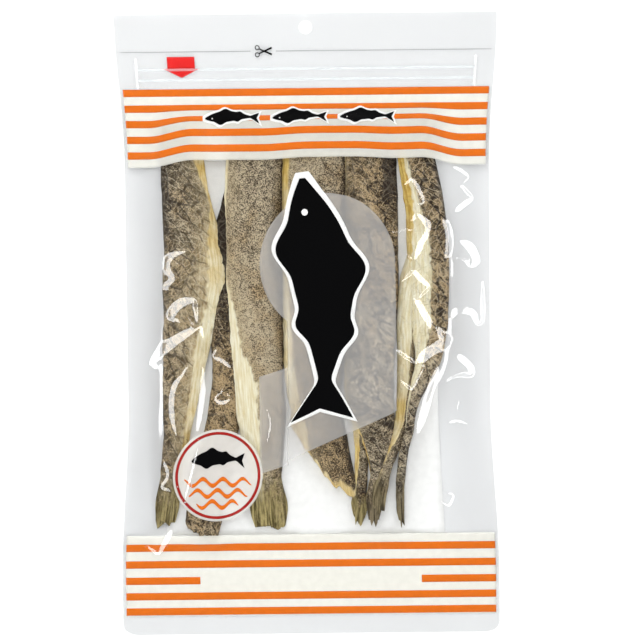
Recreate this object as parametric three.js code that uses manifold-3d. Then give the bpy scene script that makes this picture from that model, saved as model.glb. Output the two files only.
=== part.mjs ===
// A clear zip-top pouch of dried, headless saffron cod, sealed flat and lying on its back.
// Millimetres. X runs across the pouch, +Y towards the header with the hang hole and +Z up.
// The origin is the middle of the pouch, on the surface that it lies on.
// The pouch is one closed solid: a flat sealed rim, a flat header with a zip, and a front film
// that is drawn over the fish inside like a skin.
import * as THREE from "three";
import { mergeVertices } from "three/addons/utils/BufferGeometryUtils.js";
import Module from "manifold-3d";

// The pouch laid flat
const LENGTH = 364;
const TOP_WIDTH = 225;
const BOTTOM_WIDTH = 221;
const CORNER_RADIUS = 7;
// The fish draw the sides in along the filled stretch
const WAIST_PULL = 5.2;
const WAIST_TOP = 95;
const WAIST_BOTTOM = -45;
const WAIST_END = -150;

// Sealed rim and header
const RIM_THICKNESS = 1;
const SIDE_SEAL = 10;
const BOTTOM_SEAL = 8;
const SIDE_LIFT = 2.4;
const LIFT_REACH = 22;
const HEADER_START = 138;

// Hang hole
const HOLE_RADIUS = 4;
const HOLE_BELOW_TOP = 8.2;
const HOLE_SIDES = 24;

// Zip: two ribs across the header, between the side seals
const ZIP_PLACES = [149.3, 144];
const RIB_LENGTH = 202;
const RIB_WIDTH = 2.2;
const RIB_HEIGHT = 0.9;

// Fish: the path from the cut head end to the tail, how wide and thick the body is, and how high
// its underside lies. The first two lie under the others.
const FISH = [
  { path: [[-51, 112], [-51, 14], [-56, -45], [-65, -118]], width: 26, thick: 8, under: 0 },
  { path: [[50, 114], [46, 60], [38, -35], [26, -115]], width: 24, thick: 8, under: 0 },
  { path: [[-71, 116], [-67, 44], [-75, -30], [-86, -114]], width: 34, thick: 11, under: 3 },
  { path: [[-28, 120], [-31, 43], [-26, -35], [-23, -119]], width: 35, thick: 12, under: 3 },
  { path: [[5, 117], [3, 14], [7, -62], [19, -99]], width: 35, thick: 12, under: 1 },
  { path: [[36, 119], [36, 13], [33, -46], [37, -117]], width: 28, thick: 10, under: 4 },
  { path: [[66, 115], [70, 25], [63, -43], [51, -113]], width: 29, thick: 11, under: 2 },
];
const PATH_STEPS = 64;
// Where the body is widest and narrowest, as shares of its length, and its width and thickness
// there and at the ends, as shares of the fullest
const SHOULDER = 0.25;
const PEDUNCLE = 0.86;
const HEAD_SHARE = 0.82;
const PEDUNCLE_SHARE = 0.36;
const TAIL_SHARE = 0.62;
const TAIL_THICKNESS_SHARE = 0.14;
// How far the head and the tail run on past the ends of the path, rounding off
const END_ROUND = 6;

// Film: how far it stands off the fish, how much it sags between them, and how often it is relaxed
const FILM_CLEARANCE = 0.8;
const FILM_SAG = 0.012;
const FILM_ROUNDS = 500;
const FILM_STRIDE = 1.6;

// Net that carries the two faces: cells over the filled part, the bottom seal and the header
const COLUMNS = 36;
const ROWS = 48;
const SEAL_ROWS = 3;
const HEADER_ROWS = 4;

const FILM_COLOUR = 0xdfe4e6;
const FILM_ROUGHNESS = 0.15;

const wasm = await Module();
wasm.setup();

// Smooth step from 0 at one place to 1 at another.
function rise(from, to, at) {
  const share = THREE.MathUtils.clamp((at - from) / (to - from), 0, 1);
  return share * share * (3 - 2 * share);
}

// Half the pouch's width at a height on it, with the bottom corners rounded.
function halfWidth(y) {
  const up = y + LENGTH / 2;
  const flat = THREE.MathUtils.lerp(BOTTOM_WIDTH, TOP_WIDTH, up / LENGTH) / 2;
  const pull = WAIST_PULL * rise(LENGTH / 2, WAIST_TOP, y) * rise(WAIST_END, WAIST_BOTTOM, y);
  const short = Math.max(CORNER_RADIUS - up, 0);
  const corner = CORNER_RADIUS - Math.sqrt(CORNER_RADIUS ** 2 - short ** 2);
  return flat - pull - corner;
}

// Height of the back film: flat under the fish, and lifted towards the side seals.
function backHeight(x, y) {
  const filled = rise(HEADER_START, WAIST_TOP, y) * rise(WAIST_END, WAIST_BOTTOM, y);
  const edge = halfWidth(y);
  return SIDE_LIFT * filled * rise(edge - LIFT_REACH, edge, Math.abs(x));
}

// A body's share of its full width or thickness, from the head at 0 to the tail at 1.
function bodyShare(along, tailShare) {
  if (along < SHOULDER) return THREE.MathUtils.lerp(HEAD_SHARE, 1, rise(0, SHOULDER, along));
  if (along < PEDUNCLE) {
    return THREE.MathUtils.lerp(1, PEDUNCLE_SHARE, rise(SHOULDER, PEDUNCLE, along));
  }
  return THREE.MathUtils.lerp(PEDUNCLE_SHARE, tailShare, rise(PEDUNCLE, 1, along));
}

// Cross-sections of one fish, evenly spaced from head to tail.
function sectionsOf(fish) {
  const curve = new THREE.CatmullRomCurve3(fish.path.map(([x, y]) => new THREE.Vector3(x, y, 0)));
  return curve.getSpacedPoints(PATH_STEPS).map((point, step) => {
    const along = step / PATH_STEPS;
    return {
      point,
      heading: curve.getTangentAt(along),
      reach: (fish.width / 2) * bodyShare(along, TAIL_SHARE),
      thick: fish.thick * bodyShare(along, TAIL_THICKNESS_SHARE),
      under: fish.under,
    };
  });
}

const SECTIONS = FISH.map(sectionsOf);

// Top of one fish over a place on the table, or 0 beside it. The ends are rounded off.
function fishHeight(sections, x, y) {
  const place = new THREE.Vector3(x, y, 0);
  let best = sections[0];
  for (const section of sections) {
    if (section.point.distanceToSquared(place) < best.point.distanceToSquared(place)) {
      best = section;
    }
  }
  const offset = place.sub(best.point);
  const past = offset.dot(best.heading);
  const aside = offset.cross(best.heading).length();
  const out = Math.hypot(aside / best.reach, past / END_ROUND);
  return out < 1 ? best.under + best.thick * Math.sqrt(1 - out ** 2) : 0;
}

// Places of the net's rows along the pouch, closer together round the bottom corners.
function rowPlaces() {
  const low = -LENGTH / 2;
  const filledLow = low + BOTTOM_SEAL;
  const rows = [];
  for (let row = 0; row < SEAL_ROWS; row++) {
    rows.push(low + BOTTOM_SEAL * (row / SEAL_ROWS) ** 1.5);
  }
  for (let row = 0; row < ROWS; row++) {
    rows.push(THREE.MathUtils.lerp(filledLow, HEADER_START, row / ROWS));
  }
  for (let row = 0; row <= HEADER_ROWS; row++) {
    rows.push(THREE.MathUtils.lerp(HEADER_START, LENGTH / 2, row / HEADER_ROWS));
  }
  return rows;
}

// Places of the net's columns across one row, with one column for each side seal.
function columnPlaces(y) {
  const edge = halfWidth(y);
  const filled = edge - SIDE_SEAL;
  const columns = [-edge];
  for (let column = 0; column <= COLUMNS; column++) {
    columns.push(THREE.MathUtils.lerp(-filled, filled, column / COLUMNS));
  }
  columns.push(edge);
  return columns;
}

// The net as rows of points, each with its place and the heights of the back and the front film.
function makeNet() {
  return rowPlaces().map((y) =>
    columnPlaces(y).map((x) => {
      const back = backHeight(x, y);
      const fish = Math.max(...SECTIONS.map((sections) => fishHeight(sections, x, y)));
      const lowest = Math.max(back + RIM_THICKNESS, fish > 0 ? fish + FILM_CLEARANCE : 0);
      return { x, y, back, lowest, front: lowest };
    }),
  );
}

// Draws the front film over the fish: each free point moves to the mean of its neighbours, lowered
// a little by its own slack, and never below what it covers.
function relaxFilm(net) {
  const firstRow = SEAL_ROWS + 1;
  const lastRow = SEAL_ROWS + ROWS - 1;
  for (let round = 0; round < FILM_ROUNDS; round++) {
    for (let r = firstRow; r <= lastRow; r++) {
      for (let c = 2; c <= COLUMNS; c++) {
        const point = net[r][c];
        const across = 1 / (net[r][c + 1].x - point.x) ** 2;
        const along = 1 / (net[r + 1][c].y - point.y) ** 2;
        const pulled =
          across * (net[r][c - 1].front + net[r][c + 1].front) +
          along * (net[r - 1][c].front + net[r + 1][c].front);
        const level = (pulled - FILM_SAG) / (2 * across + 2 * along);
        const moved = point.front + FILM_STRIDE * (level - point.front);
        point.front = Math.max(moved, point.lowest);
      }
    }
  }
  return net;
}

// Closed geometry between the net's front and back faces, with a wall round the rim.
function pouchGeometry(net) {
  const rows = net.length;
  const columns = net[0].length;
  const points = net.flat();
  const frontAt = (r, c) => r * columns + c;
  const backAt = (r, c) => points.length + r * columns + c;
  const places = [
    ...points.flatMap((p) => [p.x, p.y, p.front]),
    ...points.flatMap((p) => [p.x, p.y, p.back]),
  ];
  const faces = [];
  const addQuad = (a, b, c, d) => faces.push(a, b, c, a, c, d);
  for (let r = 0; r + 1 < rows; r++) {
    for (let c = 0; c + 1 < columns; c++) {
      addQuad(frontAt(r, c), frontAt(r, c + 1), frontAt(r + 1, c + 1), frontAt(r + 1, c));
      addQuad(backAt(r, c), backAt(r + 1, c), backAt(r + 1, c + 1), backAt(r, c + 1));
    }
    addQuad(backAt(r, 0), frontAt(r, 0), frontAt(r + 1, 0), backAt(r + 1, 0));
    const end = columns - 1;
    addQuad(frontAt(r, end), backAt(r, end), backAt(r + 1, end), frontAt(r + 1, end));
  }
  for (let c = 0; c + 1 < columns; c++) {
    addQuad(backAt(0, c), backAt(0, c + 1), frontAt(0, c + 1), frontAt(0, c));
    const end = rows - 1;
    addQuad(frontAt(end, c), frontAt(end, c + 1), backAt(end, c + 1), backAt(end, c));
  }
  const geometry = new THREE.BufferGeometry();
  geometry.setAttribute("position", new THREE.Float32BufferAttribute(places, 3));
  geometry.setIndex(faces);
  return geometry;
}

// Turns closed geometry into a solid that can be joined and cut.
function solidFrom(geometry) {
  geometry.deleteAttribute("normal");
  geometry.deleteAttribute("uv");
  const merged = mergeVertices(geometry);
  const mesh = new wasm.Mesh({
    numProp: 3,
    vertProperties: merged.attributes.position.array,
    triVerts: new Uint32Array(merged.index.array),
  });
  return new wasm.Manifold(mesh);
}

// Turns a finished solid back into geometry.
function geometryFrom(solid) {
  const mesh = solid.getMesh();
  const geometry = new THREE.BufferGeometry();
  geometry.setAttribute("position", new THREE.BufferAttribute(mesh.vertProperties, 3));
  geometry.setIndex(new THREE.BufferAttribute(mesh.triVerts, 1));
  geometry.computeVertexNormals();
  return geometry;
}

// One rib of the zip, sunk half way into the header.
function zipRib(y) {
  const sunk = RIM_THICKNESS / 2;
  const rib = new THREE.BoxGeometry(RIB_LENGTH, RIB_WIDTH, RIB_HEIGHT + sunk);
  rib.translate(0, y, sunk + (RIB_HEIGHT + sunk) / 2);
  return solidFrom(rib);
}

// The round punch that makes the hang hole.
function hangPunch() {
  const punch = new THREE.CylinderGeometry(HOLE_RADIUS, HOLE_RADIUS, 4 * RIM_THICKNESS, HOLE_SIDES);
  punch.rotateX(Math.PI / 2);
  punch.translate(0, LENGTH / 2 - HOLE_BELOW_TOP, 0);
  return solidFrom(punch);
}

function makePouch() {
  let solid = solidFrom(pouchGeometry(relaxFilm(makeNet())));
  for (const place of ZIP_PLACES) solid = solid.add(zipRib(place));
  solid = solid.subtract(hangPunch());
  const film = new THREE.MeshStandardMaterial({
    color: FILM_COLOUR,
    roughness: FILM_ROUGHNESS,
    metalness: 0,
  });
  const pouch = new THREE.Mesh(geometryFrom(solid), film);
  pouch.name = "pouch";
  return pouch;
}

const part = new THREE.Group();
part.add(makePouch());

export default part;
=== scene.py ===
# %% [markdown]
# # Dried saffron cod in a clear zip-top pouch
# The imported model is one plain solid: a sealed pouch that lies on its back. This lesson dresses
# it. The solid is hidden, and in its place come the fish, the clear film that is drawn over them,
# the ink printed on the film and the zip in its header. Sizes are written in millimetres, and
# every mesh is made in metres, in the frame of the solid: X across, +Y to the header, Z up.

# %% Load the frame
import math
from types import SimpleNamespace

import bpy
import numpy as np
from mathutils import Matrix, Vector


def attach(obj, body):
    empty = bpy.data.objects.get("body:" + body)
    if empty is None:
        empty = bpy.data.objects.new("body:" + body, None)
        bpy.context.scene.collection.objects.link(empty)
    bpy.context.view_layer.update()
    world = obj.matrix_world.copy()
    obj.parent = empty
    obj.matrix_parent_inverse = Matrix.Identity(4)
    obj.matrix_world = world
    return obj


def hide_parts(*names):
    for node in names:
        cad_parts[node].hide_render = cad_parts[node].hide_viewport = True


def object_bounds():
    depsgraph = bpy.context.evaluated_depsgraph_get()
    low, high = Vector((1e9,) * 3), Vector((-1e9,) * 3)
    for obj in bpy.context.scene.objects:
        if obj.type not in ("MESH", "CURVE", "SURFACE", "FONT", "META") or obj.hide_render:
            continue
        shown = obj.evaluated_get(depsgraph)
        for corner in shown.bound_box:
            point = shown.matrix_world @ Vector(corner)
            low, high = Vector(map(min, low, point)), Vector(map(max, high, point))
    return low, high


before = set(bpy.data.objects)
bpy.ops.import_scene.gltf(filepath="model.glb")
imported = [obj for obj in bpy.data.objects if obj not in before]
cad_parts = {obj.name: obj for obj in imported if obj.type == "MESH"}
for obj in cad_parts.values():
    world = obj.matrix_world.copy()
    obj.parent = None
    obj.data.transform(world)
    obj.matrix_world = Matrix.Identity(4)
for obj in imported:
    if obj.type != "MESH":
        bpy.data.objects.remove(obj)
cad_low, cad_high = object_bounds()
MM = 0.001
LENGTH = (cad_high.y - cad_low.y) / MM
TOP_WIDTH = (cad_high.x - cad_low.x) / MM

# %% [markdown]
# ## Camera
# The pouch is seen from straight above, as on a copy stand, so a long lens a good way off keeps
# its edges parallel. One pixel of the picture covers a known width of the table, which fixes the
# lens, and the pouch lies a little off the middle of the picture, turned by about half a degree.

# %% Camera over the table
PICTURE_PIXELS = 640
MM_PER_PIXEL = 0.5875
POUCH_PIXEL = (308.4, 323.2)
POUCH_TURN = math.radians(0.6)
CAMERA_HEIGHT = 1500.0
SENSOR = 36.0

camera = bpy.data.objects.new("camera", bpy.data.cameras.new("camera"))
bpy.context.scene.collection.objects.link(camera)
camera.data.sensor_width = SENSOR
camera.data.lens = SENSOR * CAMERA_HEIGHT / (PICTURE_PIXELS * MM_PER_PIXEL)
off_x = (PICTURE_PIXELS / 2 - POUCH_PIXEL[0]) * MM_PER_PIXEL
off_y = (POUCH_PIXEL[1] - PICTURE_PIXELS / 2) * MM_PER_PIXEL
camera.location = (off_x * MM, off_y * MM, CAMERA_HEIGHT * MM)
camera.rotation_euler = (0, 0, -POUCH_TURN)
bpy.context.scene.camera = camera
print("lens:", round(camera.data.lens, 1), "mm")

# %% [markdown]
# ## Small tools
# Nearly every shape here is worked out from a few numbers, so a soft step between two places, a
# smooth path through a few points and a seeded noise come back in every cell. NumPy does them for
# a whole mesh at once, which is far quicker than a loop over its points.

# %% Soft steps, paths and noise
NOISE_SIZE = 128
FINE_STEPS = 8


def rise(start, end, at):
    """Soft step from 0 at start to 1 at end."""
    share = np.clip((at - start) / (end - start), 0, 1)
    return share * share * (3 - 2 * share)


def curve(a, b, c, d, share):
    """A place between b and c, on the smooth curve through four places."""
    bend = (2 * a - 5 * b + 4 * c - d) * share * share + (3 * b - a - 3 * c + d) * share ** 3
    return b + 0.5 * ((c - a) * share + bend)


def smooth_path(points, count):
    """Evenly stepped places on a smooth curve through a few points."""
    p = np.array(points, float)
    p = np.vstack([2 * p[0] - p[1], p, 2 * p[-1] - p[-2]])
    at = np.linspace(0, len(points) - 1, FINE_STEPS * count)
    i = np.minimum(at.astype(int), len(points) - 2)
    fine = curve(p[i], p[i + 1], p[i + 2], p[i + 3], (at - i)[:, None])
    run = np.concatenate([[0], np.cumsum(np.linalg.norm(np.diff(fine, axis=0), axis=1))])
    even = np.linspace(0, run[-1], count)
    return np.stack([np.interp(even, run, fine[:, k]) for k in (0, 1)], -1)


def between_four(table, i, j, a, b):
    """A value between four neighbours of a table that repeats."""
    rows, columns = table.shape
    low = table[j % rows, i % columns] * (1 - a) + table[j % rows, (i + 1) % columns] * a
    high = table[(j + 1) % rows, i % columns] * (1 - a) + table[(j + 1) % rows, (i + 1) % columns] * a
    return low * (1 - b) + high * b


def noise(x, y, seed):
    """Soft seeded noise from 0 to 1, with bumps one unit apart."""
    table = np.random.default_rng(seed).random((NOISE_SIZE, NOISE_SIZE))
    i, j = np.floor(x).astype(int), np.floor(y).astype(int)
    return between_four(table, i, j, rise(0, 1, x - i), rise(0, 1, y - j))


def ridges(x, y, seed):
    """Noise with sharp crests: 1 on a crest line, falling to 0 between."""
    return 1 - np.abs(2 * noise(x, y, seed) - 1)


print("noise along a line:", noise(np.arange(9) * 0.7, np.arange(9) * 0.4, 1).round(2).tolist())


# %% Meshes from points
def add_mesh(name, points, faces, edges=()):
    """A new object from points in millimetres and a list of faces, or of edges alone."""
    mesh = bpy.data.meshes.new(name)
    mesh.from_pydata((np.asarray(points) * MM).tolist(), edges, faces)
    mesh.polygons.foreach_set("use_smooth", np.ones(len(mesh.polygons), bool))
    thing = bpy.data.objects.new(name, mesh)
    bpy.context.scene.collection.objects.link(thing)
    return thing


def grid_faces(rows, columns, wrap=False):
    """Faces of a grid of points in row order, wrapped round its columns if asked."""
    at = np.arange(rows * columns).reshape(rows, columns)
    if wrap:
        at = np.hstack([at, at[:, :1]])
    quads = np.stack([at[:-1, :-1], at[:-1, 1:], at[1:, 1:], at[1:, :-1]], -1)
    return quads.reshape(-1, 4).tolist()


def add_map(thing, name, values):
    """Gives a mesh a UV map from two values at each point."""
    corners = np.empty(len(thing.data.loops), int)
    thing.data.loops.foreach_get("vertex_index", corners)
    thing.data.uv_layers.new(name=name).data.foreach_set("uv", values[corners].ravel())


def add_fact(thing, name, values):
    """Gives a mesh a named number at each point, which a finish can read."""
    thing.data.attributes.new(name, "FLOAT", "POINT").data.foreach_set("value", values.ravel())


print("a grid of 3 x 3 points has", len(grid_faces(3, 3)), "faces")

# %% [markdown]
# ## Outline of the pouch
# Laid flat, the pouch is nearly a rectangle. The fish inside draw its sides in along the filled
# stretch, and the back film lifts a little towards the side seals. The same few sizes shaped the
# solid, so the film made from them lands where the solid is.

# %% Outline and back film
BOTTOM_WIDTH = 221.0
CORNER_RADIUS = 7.0
WAIST_PULL, WAIST_TOP, WAIST_BOTTOM, WAIST_END = 5.2, 95.0, -45.0, -150.0
SIDE_SEAL, BOTTOM_SEAL, HEADER_START = 5.0, 8.0, 138.0
SIDE_LIFT, LIFT_REACH = 2.4, 22.0
LIFT_LEAST, LIFT_VARIES, LIFT_WIDE, LIFT_LONG = 0.7, 0.6, 90, 38
BACK_HEIGHT = 0.15
HEADER_WAVE, WAVE_WIDE, WAVE_LONG = 0.9, 45, 60


def flat_half(y):
    """Half the pouch's width before it is filled."""
    return (BOTTOM_WIDTH + (TOP_WIDTH - BOTTOM_WIDTH) * (y / LENGTH + 0.5)) / 2


def half_width(y):
    """Half the pouch's width as it lies, with round bottom corners."""
    pull = WAIST_PULL * rise(LENGTH / 2, WAIST_TOP, y) * rise(WAIST_END, WAIST_BOTTOM, y)
    short = np.maximum(CORNER_RADIUS - (y + LENGTH / 2), 0)
    return flat_half(y) - pull - CORNER_RADIUS + np.sqrt(CORNER_RADIUS ** 2 - short ** 2)


def back_height(x, y):
    """Height of the back film: flat under the fish, lifted at the sides, wavy above the zip."""
    filled = rise(HEADER_START, WAIST_TOP, y) * rise(WAIST_END, WAIST_BOTTOM, y)
    lift = SIDE_LIFT * filled * rise(LIFT_REACH, 0, half_width(y) - np.abs(x))
    wave = HEADER_WAVE * noise(x / WAVE_WIDE, y / WAVE_LONG, 11) * rise(HEADER_START, LENGTH / 2, y)
    varied = LIFT_LEAST + LIFT_VARIES * noise(x / LIFT_WIDE, y / LIFT_LONG, 12)
    return BACK_HEIGHT + lift * varied + wave


print("half width at the waist:", round(float(half_width(np.array(0.0))), 1), "mm")

# %% [markdown]
# ## The fish
# Headed, gutted and dried fish: a long flat body whose skin has shrunk into a net of fine
# wrinkles, a strip of cream flesh along the cut belly, and a tail of stiff rays. A body could be
# sculpted, but all eight follow one rule: rings along a path, each ring a low dome above and
# nearly flat below. So a few functions make them all, and a short list of sizes makes each its own.

# %% Where the fish lie
# Lists of six are read at stations from the head end to the root of the tail.
# path: places from the head end to the tail end, and widths: how wide the fish is on it.
# tail: the greatest width of the tail and that of its tip. end: widths of a cut end instead.
# slant: how far a cut end runs on at the right. thick: the greatest thickness.
# under: height of the underside at the head, the middle and the tail end.
# roll: how far the right side is tipped up at the head and at the tail, in degrees.
# side and flesh: the side of the cut belly, and the share of the width where its flesh shows.
# gold: how golden that flesh is. rim: the share of the width, at its edge, that has dried golden.
# back: the share of the width, on the right or (below 0) on the left, where the skin is darkest,
# and how far along the body that goes. That dark band is partly dark back skin and partly painted
# shade between neighbouring fish.
# belly and pale: how much the skin pales towards the flesh, and how far into the skin that reaches.
# tone: how light the skin is, and cool: how grey, or (below 0) how brown. wrinkle: how wrinkled.
# olive: how green the tail's rays are.
NONE = (0, 0, 0, 0, 0, 0)
PLAIN_FISH = dict(
    tail=None, end=None, slant=0, roll=(0, 0), side=-1, flesh=NONE, gold=NONE, rim=NONE,
    back=(0, 0), belly=NONE, pale=0.18, olive=0, cool=NONE,
)
FISH = {
    "fish_1": dict(
        path=[(-74, 117), (-72, 80), (-68, 50), (-66, 26), (-71, -10), (-76, -45), (-80, -80),
              (-85.5, -118)],
        widths=(22, 28, 41, 30, 19, 11), tail=(14, 11), thick=9.5, under=(0.9, 2.4, 1.2),
        roll=(7, 3), side=1, flesh=(0.3, 0.02, 0.34, 0.3, 0.22, 0.12), gold=(0.7, 0.6, 0.3, 0, 0.5, 0.6),
        back=(-0.05, 0.3), belly=(0.1, 0.6, 0.95, 1, 1, 0.6), pale=0.3, wrinkle=1.0,
        tone=(0.24, 0.3, 0.46, 0.5, 0.5, 0.45), olive=0.9, cool=(0.2, 0, 0, -0.2, -0.4, -0.2), seed=21,
    ),
    "fish_2": dict(
        path=[(-43, 82), (-45, 70), (-48, 42), (-48, 0), (-47.5, -39), (-55, -80), (-64.3, -121)],
        widths=(8, 20, 19, 19, 19, 22), slant=3, thick=7, under=(1.2, 1.6, 1.3), wrinkle=0.7,
        # The darkest head end is partly a dark fish and partly painted shade in the gap between fish_1 and
        # fish_3.
        tone=(-0.7, -0.6, 0, 0.5, 0.7, 0.5), cool=(0, -0.2, -0.5, -0.7, -0.7, -0.5), seed=22,
    ),
    "fish_3": dict(
        path=[(-29, 119), (-32, 43), (-31, -4), (-29, -45), (-26, -85), (-23.5, -121)],
        widths=(33, 36, 35, 32, 30, 16), tail=(24, 18), thick=12, under=(1.2, 2.8, 1.3), roll=(-4, -3),
        flesh=(0.05, 0.03, 0.05, 0.16, 0.5, 0.42), gold=(0.3, 0.2, 0.1, 0, 0, 0.1),
        back=(0.06, 1), belly=(0.3, 0.3, 0.35, 0.4, 0.4, 0.2), wrinkle=0.3,
        tone=(0.38, 0.48, 0.64, 0.72, 0.7, 0.4), olive=1, cool=(0.8, 0.6, 0.3, 0.3, 0.4, 0.2), seed=23,
    ),
    "fish_4": dict(
        path=[(4.5, 118), (4, 43), (3, -10), (3.5, -45), (6, -62), (8.5, -80)],
        widths=(36, 39, 38, 37, 35, 29), end=(32, 33), slant=21, thick=12, under=(1.2, 2.8, 1.3),
        flesh=(0.12, 0.12, 0.08, 0.1, 0.16, 0.2), gold=(0.8, 0.7, 0.6, 0.5, 0.4, 0.6),
        back=(0.07, 1), belly=(0.4, 0.35, 0.3, 0.3, 0.3, 0.3), wrinkle=0.4,
        tone=(0.57, 0.57, 0.56, 0.53, 0.38, 0.3), cool=(0.5, 0.3, 0.3, 0, -0.6, -1), seed=24,
    ),
    "fish_5": dict(
        path=[(36.5, 118), (37.5, 42), (36, -5), (35.5, -30), (36, -46), (39.5, -63), (40, -75),
              (38.8, -90), (37.5, -105), (37, -118)],
        widths=(30, 32, 32, 31, 27, 7), tail=(12, 7), thick=10, under=(1.2, 3.4, 1.5), roll=(-3, -6),
        flesh=(0.03, 0.02, 0.02, 0.04, 0.05, 0.03), gold=(0.5, 0.5, 0.5, 0.6, 0.7, 0.7),
        back=(0.26, 0.2), belly=(0.3, 0.2, 0.2, 0.2, 0.2, 0), wrinkle=0.8,
        tone=(0.34, 0.44, 0.5, 0.48, 0.4, 0.34), olive=0.15, cool=(-0.7, -0.6, -0.3, 0, 0.5, 0.3), seed=25,
    ),
    "fish_6": dict(
        path=[(36, 40), (33, -20), (31.5, -50), (31, -64), (30.5, -80), (29.3, -100), (27.3, -117)],
        widths=(18, 20, 18, 14, 8, 7), tail=(9.5, 4), thick=6, under=(1.2, 1.4, 1.3),
        flesh=(0.1, 0.2, 0.2, 0.22, 0.3, 0.15), gold=(0.5, 0.5, 0.6, 0.6, 0.6, 0.6),
        belly=(0.3, 0.3, 0.3, 0.3, 0.3, 0.2), wrinkle=0.6,
        tone=(0.2, 0.2, 0.2, 0.15, 0.15, 0.15), olive=1, seed=26,
    ),
    "fish_7": dict(
        path=[(61, 118), (64.5, 93), (69.5, 60), (70.5, 15), (71, -8), (69, -24), (62.6, -39.5),
              (59.5, -51), (58, -63), (55, -74.5), (53.5, -86), (53, -98), (54, -118.5)],
        widths=(20, 24, 25, 21, 6, 5.2), tail=(5, 3.5), thick=7.5, under=(1.2, 2.8, 1.2), roll=(-7, -2),
        flesh=(0.1, 0.4, 0.5, 0.55, 0.2, 0), gold=(0.4, 0, -0.3, -0.3, 0.2, 0.2),
        rim=(0.1, 0.2, 0.14, 0, 0, 0), back=(0.05, 0.25), belly=(0.1, 0.25, 0.4, 0.4, 0.2, 0), wrinkle=1.4,
        tone=(0.42, 0.56, 0.68, 0.72, 0.56, 0.4), olive=0.25,
        cool=(-0.5, -0.5, -0.6, -0.6, 0.6, 0.8), seed=27,
    ),
    "fish_8": dict(
        path=[(60, 118), (62, 95), (66, 72), (66, 45), (59.5, 22), (57, -2), (57, -31), (56, -46),
              (53.5, -63), (47, -78), (41, -98), (39.5, -112)],
        widths=(14, 14, 14, 12, 8, 8), tail=(9, 6), thick=6, under=(1.2, 1.4, 6),
        flesh=(0.5, 0.55, 0.7, 0.95, 0.55, 0.25), gold=(0.9, 0.9, 0.3, 0.0, 0.6, 0.6),
        belly=(0.3, 0.3, 0.3, 0.3, 0.3, 0.2), wrinkle=0.6,
        tone=(0.3, 0.3, 0.3, 0.3, 0.25, 0.25), olive=0.3, cool=(0, 0, 0, 0, 0, 0.3), seed=28,
    ),
}
print(len(FISH), "fish")

# %% Rings along a path
RINGS, TOP_POINTS, UNDER_POINTS = 300, 50, 18
STATIONS = (0, 0.2, 0.38, 0.5, 0.72, 0.88)
TAIL_STATIONS = (0.95, 1)
TAIL_START, TAIL_FULL = 0.86, 0.98
ROUNDED = 0.4
EDGE_WANDER, EDGE_LONG, EDGE_SHORT, EDGE_SHORT_SHARE, EDGE_MEAN = 1.6, 26, 5, 0.35, 0.65
OTHER_SIDE = 9.3
# For each wobble of the borders on the skin: its reach, its length, and how often it turns across.
WOBBLES = ((0.2, 22, 1.5), (0.12, 2.5, 8))
EVEN_ROUNDS = 40


def directions(line):
    """At each place of a path: the way onward, the way to its left, and the length of the step."""
    onward = np.gradient(line, axis=0)
    step = np.linalg.norm(onward, axis=1)
    onward /= step[:, None]
    return onward, np.stack([-onward[:, 1], onward[:, 0]], -1), step


def even_out(values, rounds):
    """Rows of values, each moved towards its neighbours, with the ends kept."""
    for _ in range(rounds):
        values[1:-1] = (values[:-2] + 2 * values[1:-1] + values[2:]) / 4
    return values


def ring_places():
    """Places round one ring: over the back from the right side to the left, then back below."""
    top = np.linspace(1, -1, TOP_POINTS, endpoint=False)
    under = np.linspace(-1, 1, UNDER_POINTS, endpoint=False)
    across = np.concatenate([top, under])
    across = (1 - ROUNDED) * across + ROUNDED * np.sin(across * math.pi / 2)
    return across[None, :], (np.arange(len(across)) < TOP_POINTS)[None, :]


def along_body(spec, word, along, ends=None):
    """One of a fish's lists of sizes, read smoothly along its body."""
    values = tuple(spec[word]) + tuple(ends or spec[word][-1:] * 2)
    return even_out(np.interp(along, STATIONS + TAIL_STATIONS, values), EVEN_ROUNDS)


def body_frame(spec):
    """Where each point of a fish lies: along it, across it and out from the path it follows."""
    b = SimpleNamespace(seed=spec["seed"])
    b.along = np.linspace(0, 1, RINGS)[:, None]
    b.across, b.above = ring_places()
    b.path = smooth_path(spec["path"], RINGS)
    b.onward, b.aside, step = directions(b.path)
    b.run = np.cumsum(step)[:, None] + 0 * b.across
    b.tail = rise(TAIL_START, TAIL_FULL, b.along) * bool(spec["tail"])
    b.widths = along_body(spec, "widths", b.along, spec["tail"] or spec["end"])
    right = OTHER_SIDE * (b.across > 0) + 0 * b.run
    wander = noise(b.run / EDGE_LONG, right, b.seed)
    wander = wander + EDGE_SHORT_SHARE * noise(b.run / EDGE_SHORT, right, b.seed + 40) - EDGE_MEAN
    b.out = b.across * b.widths / 2 + np.sign(b.across) * np.abs(b.across) ** 4 * EDGE_WANDER * wander
    b.from_side = 0.5 - 0.5 * spec["side"] * b.across
    b.wobble = 0
    for number, (reach, long, often) in enumerate(WOBBLES, 1):
        b.wobble = b.wobble + reach * (noise(b.run / long, b.across * often, b.seed + number) - 0.5)
    return b


print("each fish has", RINGS, "rings of", TOP_POINTS + UNDER_POINTS, "points")

# %% Skin, flesh and tail rays
THICK_SHARES = (0.2, 0.92, 1, 0.9, 0.62, 0.32, 0.2)
TAIL_THICK = 0.9
TOP_SHARE = 0.8
DOME_EDGE, DOME_ROUND = 2.3, 0.7
FOLD_HIGH, FOLD_WIDE, FOLD_LONG = 2.2, 8, 50
NET_HIGH, NET_PITCH, NET_SLANT, NET_DRAWN = 0.8, 8, 1.3, 0.3
FINE_HIGH, FINE_LEAST, FINE_LONG, FINE_WIDE = 0.3, 0.15, 3.1, 2.0
FIBRE_HIGH, FIBRE_WIDE, FIBRE_LONG = 0.5, 1.4, 22
MEAT_FOLDS, MEAT_SUNK = 1.2, 0.4
RAY_HIGH, RAY_WANDER = 0.4, 1.5
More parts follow.
